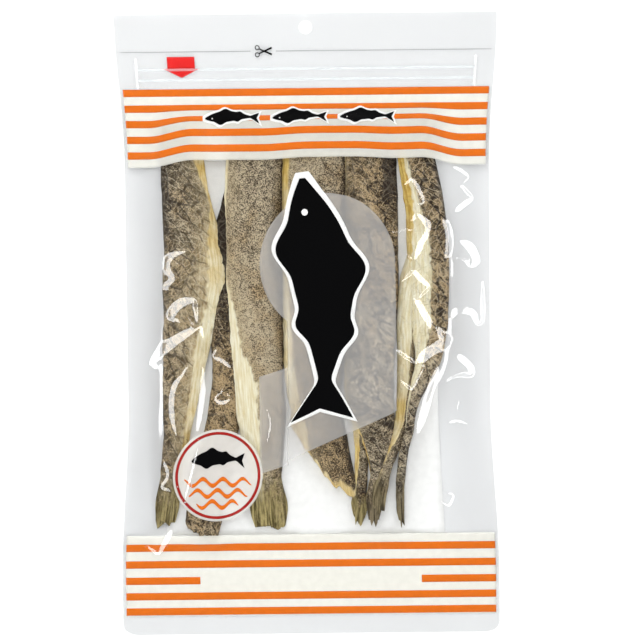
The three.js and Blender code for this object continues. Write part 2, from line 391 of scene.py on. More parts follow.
# For coarse and fine rays of a tail: their share, how close they are, their length and their seed.
RAYS = ((0.6, 0.7, 60, 10), (0.4, 2.1, 40, 12))
FLESH_SOFT, LEAST_SHARE = 0.02, 0.01
LONG_SLANT, CUT_END = 5, (0.965, 0.98)


def skin_relief(spec, b):
    """Long folds, a net of slanted wrinkles and fine grain of shrunken skin, and their crests."""
    folds = noise(b.out / FOLD_WIDE + 3, b.run / FOLD_LONG, b.seed + 3) - 0.5
    slant, other = (b.run + NET_SLANT * b.out) / NET_PITCH, (b.run - NET_SLANT * b.out) / NET_PITCH
    net = ridges(slant, other * NET_DRAWN, b.seed + 4)
    net = np.maximum(net, ridges(slant * NET_DRAWN + 7, other, b.seed + 5)) ** 4
    fine = ridges(b.run / FINE_LONG, b.out / FINE_WIDE, b.seed + 6) ** 2
    height = FOLD_HIGH * folds + spec["wrinkle"] * (NET_HIGH * net + FINE_HIGH * fine) + FINE_LEAST * fine
    return height, folds, np.clip(0.7 * net + 0.3 * fine, 0, 1)


def flesh_share(spec, b):
    """How far each point is cut flesh and not skin, and the share of the width where flesh ends."""
    until = along_body(spec, "flesh", b.along)
    ragged = b.from_side + b.wobble * np.minimum(1, 3 * until)
    flesh = rise(FLESH_SOFT, -FLESH_SOFT, ragged - until) * (until > LEAST_SHARE)
    if spec["slant"] > LONG_SLANT:
        flesh = np.maximum(flesh, rise(*CUT_END, b.along + 0.25 * b.wobble))
    return flesh * (1 - b.tail), until


def fish_height(spec, b, flesh):
    """Height of each point from the middle of its ring, and the crests of the relief."""
    thick = spec["thick"] * np.interp(b.along, STATIONS + (1,), THICK_SHARES)
    thick = thick * (1 - b.tail) + TAIL_THICK * b.tail
    dome = (1 - np.abs(b.across) ** DOME_EDGE) ** DOME_ROUND
    skin, folds, crest = skin_relief(spec, b)
    meat = FIBRE_HIGH * ridges(b.out / FIBRE_WIDE, b.run / FIBRE_LONG, b.seed + 7)
    meat = meat + MEAT_FOLDS * folds - MEAT_SUNK
    ray_at = b.across * b.widths + RAY_WANDER * noise(b.run / 9, b.across * 3, b.seed + 8)
    rays = 0
    for share, close, long, number in RAYS:
        rays = rays + share * noise(ray_at * close, b.run / long, b.seed + number)
    relief = (skin * (1 - flesh) + meat * flesh) * (1 - b.tail) + RAY_HIGH * rays * b.tail
    top = TOP_SHARE * thick * dome + relief * dome ** 0.5
    return np.where(b.above, top, (TOP_SHARE - 1) * thick * dome), crest * (1 - b.tail) + rays * b.tail


print("wrinkles stand up to", NET_HIGH + FINE_HIGH, "mm high")

# %% Facts for the finish
FACTS = ("flesh", "tail", "crest", "tone", "gold", "wrinkle", "edge", "olive", "belly", "cool")
# Painted shade: the skin darkens at the rims, where the body curves down to the table.
DARK_SIDE, DARK_END, RIM_SHADE = (-0.1, 0.12), (0.1, -0.06), 0.25
RIM_SOFT = 0.03
FRINGE = 0.35


def fish_facts(spec, b, flesh, until, crest):
    """What the finish needs to know at each point of a fish."""
    facts = {word: along_body(spec, word, b.along) for word in ("tone", "gold", "cool")}
    facts.update(flesh=flesh, crest=crest, wrinkle=spec["wrinkle"], olive=spec["olive"])
    facts["tail"] = rise(TAIL_START, TAIL_FULL, b.along + FRINGE * b.wobble) * bool(spec["tail"])
    rim_at = along_body(spec, "rim", b.along)
    rim = rise(RIM_SOFT, -RIM_SOFT, b.from_side + 0.5 * b.wobble - rim_at) * (rim_at > LEAST_SHARE)
    facts["gold"] = facts["gold"] + rim
    past = np.maximum(b.from_side + b.wobble - until, 0)
    facts["belly"] = along_body(spec, "belly", b.along) * np.exp(-past / spec["pale"])
    # The dark band is partly dark back skin and partly painted shade between neighbouring fish.
    share, end = spec["back"]
    start = 1 - 2 * abs(share)
    to_side = b.across * np.sign(share) + 0.5 * b.wobble
    dark = rise(start + DARK_SIDE[0], start + DARK_SIDE[1], to_side) * (share != 0)
    dark = dark * rise(end + DARK_END[0], end + DARK_END[1], b.along)
    facts["edge"] = RIM_SHADE * np.abs(b.across) ** 6 + dark
    return {word: facts[word] * np.ones_like(b.run) for word in FACTS}


print("the finish reads", len(FACTS), "facts")

# %% One fish from its sizes
LOWEST_FISH, LEAST_THICK = 0.55, 0.15
END_WANDER, END_MEAN, TAIL_ROUND = 6.5, 0.8, 1.5
# For long and short frays of an end: their share, how often they come across, and their seed.
FRAYS = ((1, 2.5, 9), (0.5, 11, 11))
SLANT_START, SLANT_CURVE = 0.78, 2.2
UNDER_STATIONS, UNDER_PICKS = (0, 0.25, 0.5, 0.7, 1), (0, 0, 1, 1, 2)


def ring_points(spec, b, height):
    """Places of all points of a fish, ring by ring."""
    roll = np.radians(np.interp(b.along, (0, 1), spec["roll"]))
    level = np.interp(b.along, UNDER_STATIONS, [spec["under"][k] for k in UNDER_PICKS])
    frayed = sum(share * noise(b.across * often, 0 * b.across, b.seed + k) for share, often, k in FRAYS)
    forward = END_WANDER * (frayed - END_MEAN) * rise(TAIL_START, 1, b.along)
    forward = forward - TAIL_ROUND * np.abs(b.across) * b.tail
    run_on = 1 - 2 * (0.5 - 0.5 * b.across) ** SLANT_CURVE
    forward = forward + spec["slant"] * run_on * rise(SLANT_START, 1, b.along)
    flat = [b.path[:, k, None] + b.aside[:, k, None] * b.out * np.cos(roll) + b.onward[:, k, None] * forward
            for k in (0, 1)]
    z = np.maximum(level + height + b.out * np.sin(roll), LOWEST_FISH + LEAST_THICK * b.above)
    return np.stack([*flat, z], -1)


def make_fish(name, spec):
    """One fish as a closed mesh, with its facts as attributes and a map that follows the skin."""
    b = body_frame(spec)
    flesh, until = flesh_share(spec, b)
    height, crest = fish_height(spec, b, flesh)
    rings = ring_points(spec, b, height)
    count, around = rings.shape[:2]

    def with_ends(values):
        """Values at all points, and their means for the middles of the two ends."""
        return np.vstack([values.reshape(count * around, -1), values[[0, -1]].mean(1).reshape(2, -1)])

    faces = grid_faces(count, around, wrap=True)
    first = np.arange(around)
    onward, last = (first + 1) % around, (count - 1) * around
    head, tail = np.full((2, around), [[count * around], [count * around + 1]])
    faces += np.stack([first, head, onward], -1).tolist()
    faces += np.stack([last + first, last + onward, tail], -1).tolist()
    fish = add_mesh(name, with_ends(rings), faces)
    for word, values in fish_facts(spec, b, flesh, until, crest).items():
        add_fact(fish, word, with_ends(values))
    add_map(fish, "skin", with_ends(np.stack([b.run, b.out], -1)) * MM)
    return fish, rings


fish_pieces, fish_rings = [], []
for fish_name, fish_sizes in FISH.items():
    fish_piece, rings_now = make_fish(fish_name, dict(PLAIN_FISH, **fish_sizes))
    fish_pieces.append(fish_piece)
    fish_rings.append(rings_now)
print("highest fish:", round(max(r[..., 2].max() for r in fish_rings), 1), "mm")

# %% [markdown]
# ## The film over the fish
# The front film is a stiff clear sheet, sealed at the rim, that lies nearly taut over the fish.
# Cloth simulation could drape it, but a film hardly stretches and bends in long easy curves, so a
# small solver of our own fits better: a net of points joined by threads that keep their length,
# short ones for the sheet and longer ones that resist bending. It starts from a sheet that is
# evened out over a map of the fish tops. Each round lets the net sink, puts every thread right and
# lifts the points that have gone into a fish.

# %% A map of the fish tops
MAP_STEP = 1.0
MAP_X, MAP_Y = 120.0, 190.0
FILM_CLEARANCE = 0.55
BRIDGE, EASE = 14, 6
tops = np.zeros((int(2 * MAP_Y / MAP_STEP) + 1, int(2 * MAP_X / MAP_STEP) + 1))
for rings_now in fish_rings:
    flat = rings_now.reshape(-1, 3)
    column = np.rint((flat[:, 0] + MAP_X) / MAP_STEP).astype(int)
    row = np.rint((flat[:, 1] + MAP_Y) / MAP_STEP).astype(int)
    np.maximum.at(tops, (row, column), flat[:, 2] + FILM_CLEARANCE)


def spread(values, reach, pick):
    """Each place of a map takes one value from all within reach, down the map and then across."""
    for axis in (0, 1):
        wide = np.pad(values, [(reach * (k == axis),) * 2 for k in (0, 1)], mode="edge")
        parts = [np.take(wide, range(k, k + values.shape[axis]), axis) for k in range(2 * reach + 1)]
        values = pick(parts, 0)
    return values


for reach, pick in ((BRIDGE, np.max), (BRIDGE - EASE, np.min), (EASE, np.mean)):
    tops = spread(tops, reach, pick)


def height_below(x, y):
    """Height of what the film may not sink into, read between the places of the map."""
    fx = np.clip((x + MAP_X) / MAP_STEP, 0, tops.shape[1] - 1.001)
    fy = np.clip((y + MAP_Y) / MAP_STEP, 0, tops.shape[0] - 1.001)
    i, j = fx.astype(int), fy.astype(int)
    return between_four(tops, i, j, fx - i, fy - j)


print("map of", tops.shape, "places")

# %% The net and its threads
NET_ROWS, NET_COLUMNS = 163, 101
RIM_GAP = 0.38
LOOSE_SHARE, LOOSE_WIDE, LOOSE_LONG, LOOSE_MIDDLE = 0.002, 30.0, 36.0, 0.35
CRUMPLE_SHARE, CRUMPLE_SIZE, CRUMPLE_MIDDLE = 0.003, 13.0, 0.4
MARGIN_SIDES, MARGIN_LOW, MARGIN_HIGH = (60, 80), (-150, -110), (125, 95)
DIAGONAL, BEND, STIFF = 0.6, 0.3, 0.15
# For each kind of thread: how far it goes down and along the net, and how firm it is.
THREAD_KINDS = (
    (0, 1, 1), (1, 0, 1), (1, 1, DIAGONAL), (1, -1, DIAGONAL), (0, 2, BEND), (2, 0, BEND),
    (0, 4, STIFF), (4, 0, STIFF), (3, 3, STIFF), (3, -3, STIFF),
)

flat_y = np.linspace(-LENGTH / 2, LENGTH / 2, NET_ROWS)[:, None] + np.zeros(NET_COLUMNS)
share_x = np.linspace(-1, 1, NET_COLUMNS)[None, :] + np.zeros((NET_ROWS, 1))
net_x = share_x * half_width(flat_y)
sealed = (half_width(flat_y) - np.abs(net_x) < SIDE_SEAL) | (flat_y > HEADER_START)
sealed = sealed | (flat_y < -LENGTH / 2 + BOTTOM_SEAL)
loose = 1 + LOOSE_SHARE * (noise(net_x / LOOSE_WIDE, flat_y / LOOSE_LONG, 7) - LOOSE_MIDDLE)
margin = rise(*MARGIN_SIDES, np.abs(net_x)) * rise(*MARGIN_LOW, flat_y) * rise(*MARGIN_HIGH, flat_y)
crumple = noise(net_x / CRUMPLE_SIZE, flat_y / CRUMPLE_SIZE, 8) - CRUMPLE_MIDDLE
loose += CRUMPLE_SHARE * margin * crumple


def make_threads(taut):
    """Pairs of net slices that a thread joins, with its length, from the taut sheet, and its pull."""
    free = np.where(sealed, 0.0, 1.0)
    threads = []
    for down, along, firm in THREAD_KINDS:
        gap = max(down, along)
        for start in range(2 * gap):
            if down:
                first = [slice(start, NET_ROWS - gap, 2 * gap), slice(0, NET_COLUMNS - abs(along))]
                second = [slice(start + gap, NET_ROWS, 2 * gap), slice(abs(along), NET_COLUMNS)]
                if along < 0:
                    first[1], second[1] = second[1], first[1]
            else:
                first = [slice(None), slice(start, NET_COLUMNS - gap, 2 * gap)]
                second = [slice(None), slice(start + gap, NET_COLUMNS, 2 * gap)]
            a, b = tuple(first), tuple(second)
            length = np.linalg.norm(taut[b] - taut[a], axis=-1) * (loose[a] + loose[b]) / 2
            both = np.maximum(free[a] + free[b], 1e-9)
            threads.append((a, b, length, firm * free[a] / both, firm * free[b] / both))
    return threads


print("sealed points of the net:", int(sealed.sum()), "of", sealed.size)

# %% Drape the film
SINK, DRAG = 0.006, 0.9
STEPS, ROUNDS = ((180, 4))
SOFTEN_ROUNDS = 300


def mean_around(values):
    """The mean of the four neighbours of each place in a map."""
    wide = np.pad(values, 1, mode="edge")
    return (wide[:-2, 1:-1] + wide[2:, 1:-1] + wide[1:-1, :-2] + wide[1:-1, 2:]) / 4


def drape(net, threads):
    """Lets the net sink on to the fish, round by round."""
    before = net.copy()
    moving = ~sealed
    floor = back_height(net[..., 0], net[..., 1]) + RIM_GAP
    for _ in range(STEPS):
        drift = (net - before) * DRAG
        before = net.copy()
        net[moving] += drift[moving]
        net[..., 2] -= SINK * moving
        for _ in range(ROUNDS):
            for a, b, length, pull_a, pull_b in threads:
                apart = net[b] - net[a]
                now = np.sqrt((apart * apart).sum(-1))
                wrong = (now - length) / now
                net[a] += apart * (wrong * pull_a)[..., None]
                net[b] -= apart * (wrong * pull_b)[..., None]
            lowest = np.maximum(height_below(net[..., 0], net[..., 1]), floor)
            net[..., 2] = np.where(moving, np.maximum(net[..., 2], lowest), net[..., 2])
    return net


rim_z = back_height(net_x, flat_y) + RIM_GAP
lowest_z = np.where(sealed, rim_z, np.maximum(height_below(net_x, flat_y), rim_z))
net_z = lowest_z.copy()
for _ in range(SOFTEN_ROUNDS):
    net_z = np.where(sealed, lowest_z, np.maximum(mean_around(net_z) - 2 * SINK, lowest_z))
taut = np.stack([net_x, flat_y, net_z], -1)
net = drape(taut.copy(), make_threads(taut))
print("film stands", round(net[..., 2].max(), 1), "mm high")

# %% [markdown]
# ## Folds and the sheet as a mesh
# The net is read again with finer steps, on smooth curves between its points, for the front.
# Handling has left short crisp folds in the film, and they are what shines. Random bumps would
# shine everywhere, so each fold is drawn as a short path, and one flank of it is tilted just
# enough to mirror the glow round the table to a camera overhead. The back is laid on the table in
# larger faces, because it is nearly flat. Joined round the rim they are one closed skin, and a
# punch takes out the hang hole. A copy of each sheet stays for a while with a flat map of it,
# which the print needs.

# %% Finer grid from the net
COARSE = 4
FILM_ROWS, FILM_COLUMNS = 94 * COARSE + 1, 58 * COARSE + 1


def read_between(values, count):
    """Values along the first axis read at more places, on smooth curves through them."""
    at = np.linspace(0, len(values) - 1, count)
    i = np.minimum(at.astype(int), len(values) - 2)
    share = (at - i).reshape(-1, *[1] * (values.ndim - 1))
    before, after = np.maximum(i - 1, 0), np.minimum(i + 2, len(values) - 1)
    return curve(values[before], values[i], values[i + 1], values[after], share)


front = read_between(read_between(net, FILM_ROWS).swapaxes(0, 1), FILM_COLUMNS).swapaxes(0, 1)
back = front.copy()
back_y = np.linspace(-LENGTH / 2, LENGTH / 2, FILM_ROWS)[:, None]
back[..., 0] = np.linspace(-1, 1, FILM_COLUMNS)[None, :] * half_width(back_y)
back[..., 1] = back_y
back[..., 2] = back_height(back[..., 0], back[..., 1])
front[..., 2] = np.maximum(front[..., 2], back_height(front[..., 0], front[..., 1]) + RIM_GAP)
print("front film:", FILM_ROWS, "x", FILM_COLUMNS, "points")

# %% Where the folds are
# Each fold has the width of its steep flank and a path on the pouch.
FOLDS = (
    (3.5, [(84, 91), (90, 89), (96, 84)]),
    (3, [(83, 84), (88, 82), (88, 76)]),
    (5, [(85, 63), (91, 68), (98, 73)]),
    (7, [(79, 61), (82, 50), (80, 36)]),
    (7, [(88, 48), (95, 44), (99, 36), (95, 30)]),
    (6.5, [(83, 2), (88, 7), (96, 5), (99, -3)]),
    (6, [(84, -18), (90, -22), (95, -27), (96, -33)]),
    (3.5, [(80, -51), (84, -54), (88, -55)]),
    (3, [(80, -60), (87, -58), (94, -61)]),
    (3, [(85, -101), (81, -109)]),
    (5, [(90, 22), (96, 17), (98, 11)]),
    (5, [(-69, 43), (-80, 40), (-82, 33), (-79, 27), (-85, 21)]),
    (7, [(-65, 15), (-75, 12), (-82, 3)]),
    (7, [(-62, 0), (-74, -7), (-86, -15), (-94, -24)]),
    (2.5, [(-47, -4), (-51, -8), (-57, -15)]),
    (4.5, [(-66, -15), (-73, -27), (-79, -38), (-80, -53), (-77, -68)]),
    (4, [(-57, -19), (-51, -21), (-45, -26)]),
    (4, [(-56, -43), (-51, -46), (-45, -43)]),
    (3.5, [(-86, -78), (-83, -88), (-88, -96)]),
    (4.5, [(-80, -118), (-85, -127), (-90, -136)]),
    (3, [(-64, -67), (-69, -86), (-75, -108)]),
    (2.5, [(-28, -42), (-23, -57), (-26, -74)]),
    (4, [(61, 85), (65, 78), (69, 69)]),
    (6, [(63, 65), (71, 55), (66, 45), (62, 35)]),
    (5, [(61, 31), (66, 25), (72, 20)]),
    (6, [(60, 20), (67, 6), (73, -6), (70, -16)]),
    (6, [(76, -24), (70, -37), (67, -52), (63, -65)]),
    (8, [(84, -10), (76, -14), (68, -19), (62, -27)]),
    (5, [(69, -25), (65, -33), (60, -41)]),
    (5, [(-61, -16), (-62, -38), (-66, -66)]),
)
print(len(FOLDS), "folds")

# %% Folds from handling
FOLD_TILT, FOLD_GENTLE = math.radians(33), 0.18
FOLD_STEPS, FOLD_EASE, FOLD_REACH = 60, 8, 5
SLOPE_ROUNDS = 6
CRUMPLE_HIGH, CRUMPLE_LONG, CRUMPLE_WIDE = 0.25, 17.0, 12.0
CRUMPLED_SIDES, CRUMPLED_LOW, CRUMPLED_HIGH = (70, 84), (-150, -120), (120, 95)
RIM_FADE = (2, 6)


def film_slopes(sheet):
    """The slope of a sheet across and along, evened out over a few points."""
    slopes = []
    for axis, part in ((1, 0), (0, 1)):
        slope = np.gradient(sheet[..., 2], axis=axis) / np.gradient(sheet[..., part], axis=axis)
        for _ in range(SLOPE_ROUNDS):
            slope = mean_around(slope)
        slopes.append(slope)
    return np.stack(slopes, -1)


def flank_slope(line, aside, slopes):
    """The way uphill across a fold, and how steep its flank has to be to reach the fold's tilt."""
    row = np.rint((line[:, 1] / LENGTH + 0.5) * (FILM_ROWS - 1)).astype(int)
    column = np.rint((line[:, 0] / half_width(line[:, 1]) + 1) / 2 * (FILM_COLUMNS - 1)).astype(int)
    lie = slopes[row, column]
    uphill = aside * np.sign((lie * aside).sum() + 1e-6)
    down = (lie * uphill).sum(1)
    steep = np.sqrt(np.maximum(math.tan(FOLD_TILT) ** 2 - (lie ** 2).sum(1) + down ** 2, 0)) - down
    window = 2 * FOLD_EASE + 1
    steep = np.convolve(np.pad(steep, FOLD_EASE, mode="edge"), np.ones(window) / window, mode="valid")
    return uphill, steep


def fold(sheet, slopes, wide, places):
    """Height of one fold: a narrow flank steep enough to mirror the glow, and a long gentle one."""
    line = smooth_path(places, FOLD_STEPS)
    uphill, steep = flank_slope(line, directions(line)[1], slopes)
    reach = FOLD_REACH * wide
    low, high = line.min(0) - reach, line.max(0) + reach
    near = ((sheet[..., :2] > low) & (sheet[..., :2] < high)).all(-1)
    apart = sheet[near][:, None, :2] - line
    k = np.hypot(apart[..., 0], apart[..., 1]).argmin(-1)
    off = (apart[np.arange(len(k)), k] * uphill[k]).sum(-1)
    flank = wide * (1 - np.abs(2 * k / (FOLD_STEPS - 1) - 1) ** 4)
    up = steep[k] * np.clip(off + flank / 2, 0, flank) - FOLD_GENTLE * np.maximum(off - flank / 2, 0)
    height = np.zeros(sheet.shape[:2])
    height[near] = np.maximum(up, 0)
    return height


front_x, front_y = front[..., 0], front[..., 1]
inside = rise(*RIM_FADE, half_width(back_y) - np.abs(front_x))
crumpled = rise(*CRUMPLED_SIDES, np.abs(front_x))
crumpled = crumpled * rise(*CRUMPLED_LOW, front_y) * rise(*CRUMPLED_HIGH, front_y)
crumple = ridges(front_x / CRUMPLE_LONG, front_y / CRUMPLE_WIDE, 33)
front[..., 2] += inside * CRUMPLE_HIGH * crumpled * crumple
lie_of_film = film_slopes(front)
front[..., 2] += inside * np.max([fold(front, lie_of_film, *each) for each in FOLDS], 0)
print("film with folds stands", round(front[..., 2].max(), 1), "mm high")

# %% Flat map of the sheet
# Over the fish the film is drawn up, so the print's lower edge there stands higher than at the sides.
PRINT_SLIP, SLIP_LEAST, SLIP_VARIES, SLIP_WIDE, SLIP_LONG = 4.5, 0.8, 0.35, 26, 90
SLIP_HIGH, SLIP_SIDES, SLIP_LOW = (131.0, 116.0), (92, 66), (76, 97)
slip = PRINT_SLIP * rise(*SLIP_HIGH, back_y) * rise(*SLIP_SIDES, np.abs(back[..., 0]))
slip = slip * rise(*SLIP_LOW, back_y)
slip = slip * (SLIP_LEAST + SLIP_VARIES * noise(back[..., 0] / SLIP_WIDE, back_y / SLIP_LONG, 44))
flat_x = np.linspace(-1, 1, FILM_COLUMNS)[None, :] * flat_half(back_y)
flat_map = np.stack([flat_x / LENGTH + 0.5, (back_y - slip) / LENGTH + 0.5], -1)


def add_sheet(name, points):
    """A sheet of film with its flat map."""
    sheet = add_mesh(name, points.reshape(-1, 3), grid_faces(FILM_ROWS, FILM_COLUMNS))
    add_map(sheet, "flat", flat_map.reshape(-1, 2))
    return sheet


front_sheet, back_sheet = add_sheet("front_sheet", front), add_sheet("back_sheet", back)
print("the print slips up to", PRINT_SLIP, "mm over the fish")

# %% One closed skin with a hang hole
HOLE_RADIUS, HOLE_BELOW_TOP, HOLE_SIDES, HOLE_DEPTH = 4.0, 8.2, 48, 20
SHARP_EDGE = math.radians(50)


def grid_rim(at):
    """The points round the rim of a grid, in order."""
    return np.concatenate([at[0, :-1], at[:-1, -1], at[-1, :0:-1], at[:0:-1, 0]])


def coarse_faces(at):
    """Large faces over a fine grid of points, which keep every point of the grid's rim."""
    faces, (rows, columns) = [], at.shape
    for r in range(0, rows - 1, COARSE):
        for c in range(0, columns - 1, COARSE):
            up, on = r + COARSE, c + COARSE
            low = at[r, c:on] if r == 0 else at[r, c:c + 1]
            right = at[r:up, on] if on == columns - 1 else at[r:r + 1, on]
            high = at[up, on:c:-1] if up == rows - 1 else at[up, on:on + 1]
            left = at[up:r:-1, c] if c == 0 else at[up:up + 1, c]
            faces.append(np.concatenate([low, right, high, left]).tolist())
    return faces


def closed_pouch():
    """Front and back as one closed mesh, joined by a narrow wall round the rim."""
    count = FILM_ROWS * FILM_COLUMNS
    at = np.arange(count).reshape(FILM_ROWS, FILM_COLUMNS)
    faces = grid_faces(FILM_ROWS, FILM_COLUMNS)
    faces += [f[::-1] for f in coarse_faces(at + count)]
    rim = grid_rim(at)
    onward = np.roll(rim, -1)
    faces += np.stack([rim, rim + count, onward + count, onward], -1).tolist()
    used = np.unique(np.concatenate(faces))
    place = np.zeros(2 * count, int)
    place[used] = np.arange(len(used))
    points = np.vstack([front.reshape(-1, 3), back.reshape(-1, 3)])[used]
    return add_mesh("pouch_film", points, [place[f].tolist() for f in faces])


def finish_mesh(thing):
    """Bakes an object's modifiers into a plain mesh."""
    live = thing.evaluated_get(bpy.context.evaluated_depsgraph_get())
    made = bpy.data.meshes.new_from_object(live)
    thing.modifiers.clear()
    old, thing.data = thing.data, made
    made.name = thing.name
    bpy.data.meshes.remove(old)


def punch(thing):
    """Cuts the hang hole right through the header."""
    bpy.ops.mesh.primitive_cylinder_add(
        vertices=HOLE_SIDES, radius=HOLE_RADIUS * MM, depth=HOLE_DEPTH * MM,
        location=(0, (LENGTH / 2 - HOLE_BELOW_TOP) * MM, 0),
    )
    tool = bpy.context.object
    cut_hole = thing.modifiers.new("hang_hole", "BOOLEAN")
    cut_hole.object, cut_hole.operation, cut_hole.solver = tool, "DIFFERENCE", "MANIFOLD"
    finish_mesh(thing)
    bpy.data.objects.remove(tool)


pouch_film = closed_pouch()
punch(pouch_film)
pouch_film.data.set_sharp_from_angle(angle=SHARP_EDGE)
print("pouch film:", len(pouch_film.data.polygons), "faces")

# %% Painted shade on the loose margins
# Beside the fish the film hangs loose, and painted shade darkens its tint there. A fact on each point tells
# its finish.
MARGIN_SHADE = 0.4
SHADE_SIDES, SHADE_HIGH, SHADE_LOW = (76, 92), (HEADER_START, 120), (-165, -120)
film_at = np.empty(3 * len(pouch_film.data.vertices))
pouch_film.data.vertices.foreach_get("co", film_at)
film_x, film_y, _ = film_at.reshape(-1, 3).T / MM
# Painted shade: this fact darkens the film's tint on the margins beside the fish.
slack = MARGIN_SHADE * rise(*SHADE_SIDES, np.abs(film_x)) * rise(*SHADE_HIGH, film_y) * rise(*SHADE_LOW, film_y)
add_fact(pouch_film, "slack", slack)
print("slack points:", int((slack > 0).sum()))

# %% [markdown]
# ## Trees of nodes
# Print, zip and cut line are laid by Geometry Nodes, and every finish is a tree of shader nodes.
# Both are built the same way: add a node, set its sockets or link them. A small class does that,
# and it has short words for the sums and mixes that come back in every finish.

# %% Tools for trees
class Tree:
    """A tree of nodes in the making."""

    def __init__(self, tree):
        self.group = tree

    def add(self, kind, values=None, **settings):
        """Adds a node with its settings, and a value or another node's output for its sockets."""
        made = self.group.nodes.new(kind)
        for word, value in settings.items():
            setattr(made, word, value)
        for word, value in (values or {}).items():
            if isinstance(value, bpy.types.NodeSocket):
                self.group.links.new(value, made.inputs[word])
            else:
                made.inputs[word].default_value = value
        return made.outputs[0] if len(made.outputs) else made

    def times(self, first, second):
        """Two numbers multiplied."""
        return self.add("ShaderNodeMath", {0: first, 1: second}, operation="MULTIPLY")

    def plus(self, first, *others):
        """Two or more numbers added."""
        for other in others:
            first = self.add("ShaderNodeMath", {0: first, 1: other}, operation="ADD")
        return first

    def span(self, value, low, high, to_low=0.0, to_high=1.0, kind="SMOOTHSTEP"):
        """A number moved from one range to another and held inside it."""
        sockets = {0: value, 1: low, 2: high, 3: to_low, 4: to_high}
        return self.add("ShaderNodeMapRange", sockets, interpolation_type=kind)

    def mix(self, share, first, second, blend="MIX"):
        """A colour mixed from two."""
        sockets = {0: share, 6: first, 7: second}
        return self.add("ShaderNodeMix", sockets, data_type="RGBA", blend_type=blend).node.outputs[2]

    def noise(self, place, scale, detail, **more):
        """Soft noise with spots of one size."""
        return self.add("ShaderNodeTexNoise", dict(more, Vector=place, Scale=scale, Detail=detail))

    def coordinate(self, word):
        """A coordinate of the surface."""
        return self.add("ShaderNodeTexCoord").node.outputs[word]

    def fact(self, word):
        """A number that each point of the mesh carries."""
        return self.add("ShaderNodeAttribute", attribute_name=word).node.outputs["Fac"]


def new_finish(name):
    """An empty material and its tree."""
    finish = bpy.data.materials.new(name)
    finish.use_nodes = True
    finish.node_tree.nodes.clear()
    return finish, Tree(finish.node_tree)


def colour(red, green, blue):
    """A shader colour from the 0 to 255 values of a picture."""
    parts = [c / 255 for c in (red, green, blue)]
    return tuple(c / 12.92 if c <= 0.04045 else ((c + 0.055) / 1.055) ** 2.4 for c in parts) + (1,)


print("middle grey is", round(colour(128, 128, 128)[0], 3))

# %% [markdown]
# ## Laying print on the film
# Ink sits on the inside of the outer film, so it bends with every fold. Each printed shape is
# first drawn flat, at its place on the flat sheet. A Geometry Nodes tree then finds that place on
# the draped sheet through the sheet's flat map, moves the shape there and lets it down a hair
# below the film. The same nodes lay the zip and the dotted cut line.

# %% The tree that lays a flat shape on the sheet
LAY_SIZES = {"Sheet": "NodeSocketObject", "Rise": "NodeSocketFloat", "Material": "NodeSocketMaterial"}


def new_tree(name, *lengths):
    """A geometry tree with a shape and some named sizes going in, and a shape coming out."""
    group = bpy.data.node_groups.new(name, "GeometryNodeTree")
    group.interface.new_socket("Geometry", in_out="INPUT", socket_type="NodeSocketGeometry")
    for word, kind in dict(LAY_SIZES, **{word: "NodeSocketFloat" for word in lengths}).items():
        group.interface.new_socket(word, in_out="INPUT", socket_type=kind)
    group.interface.new_socket("Geometry", in_out="OUTPUT", socket_type="NodeSocketGeometry")
    return Tree(group), group.nodes.new("NodeGroupInput").outputs


def lay_nodes(tree, given):
    """Nodes that move a flat shape to its place on the sheet, and then along the sheet's normal."""
    info = tree.add("GeometryNodeObjectInfo", {"Object": given["Sheet"]}, transform_space="RELATIVE")
    flat = tree.add("GeometryNodeInputNamedAttribute", {"Name": "flat"}, data_type="FLOAT_VECTOR")
    scaled = {0: tree.add("GeometryNodeInputPosition"), 1: (1 / (LENGTH * MM),) * 3, 2: (0.5, 0.5, 0)}
    at = tree.add("ShaderNodeVectorMath", scaled, operation="MULTIPLY_ADD")
    found = []
    for field in ("GeometryNodeInputPosition", "GeometryNodeInputNormal"):
        sockets = {"Mesh": info.node.outputs["Geometry"], "Value": tree.add(field)}
        sockets.update({"Source UV Map": flat.node.outputs["Attribute"], "Sample UV": at})
        sample = tree.add("GeometryNodeSampleUVSurface", sockets, data_type="FLOAT_VECTOR")
        found.append(sample.node.outputs["Value"])
    moved = {0: found[1], 1: given["Rise"], 2: found[0]}
    place = tree.add("ShaderNodeVectorMath", moved, operation="MULTIPLY_ADD")
    return tree.add("GeometryNodeSetPosition", {"Geometry": given["Geometry"], "Position": place})


def finish_nodes(tree, given, shape):
    """Nodes that end every tree: real geometry with its material."""
    real = tree.add("GeometryNodeRealizeInstances", {0: shape})
    painted = tree.add("GeometryNodeSetMaterial", {"Geometry": real, "Material": given["Material"]})
    tree.add("NodeGroupOutput", {0: painted})


def run_tree(thing, tree, **sizes):
    """Runs a tree on an object, its sizes set by socket, before anything evaluates it."""
    live = thing.modifiers.new(tree.group.name, "NODES")
    live.node_group = tree.group
    for item in tree.group.interface.items_tree:
        if item.in_out == "INPUT" and item.name in sizes:
            live[item.identifier] = sizes[item.name]


lay_tree, lay_given = new_tree("lay_on_sheet")
finish_nodes(lay_tree, lay_given, lay_nodes(lay_tree, lay_given))
print("tree:", lay_tree.group.name, "with", len(lay_tree.group.nodes), "nodes")

# %% [markdown]
# ## Finishes
# Clear film is a mirror that mostly lets light through: a Fresnel share of gloss over a faintly
# tinted transparent shader, whose tint is darkened as painted shade where the film is tilted and on
# the loose margins. Ink is a satin colour with some of the same transparency, because light ink on
# film shows what lies behind it.
# Dry skin needs most: speckles, blotches and nets of wrinkles, all read from the map and the facts
# that each fish carries, so the pattern follows the body. On it are painted a highlight on wrinkle
# lines and crests, and painted shade in deep wrinkles, in hollows and at the rims.

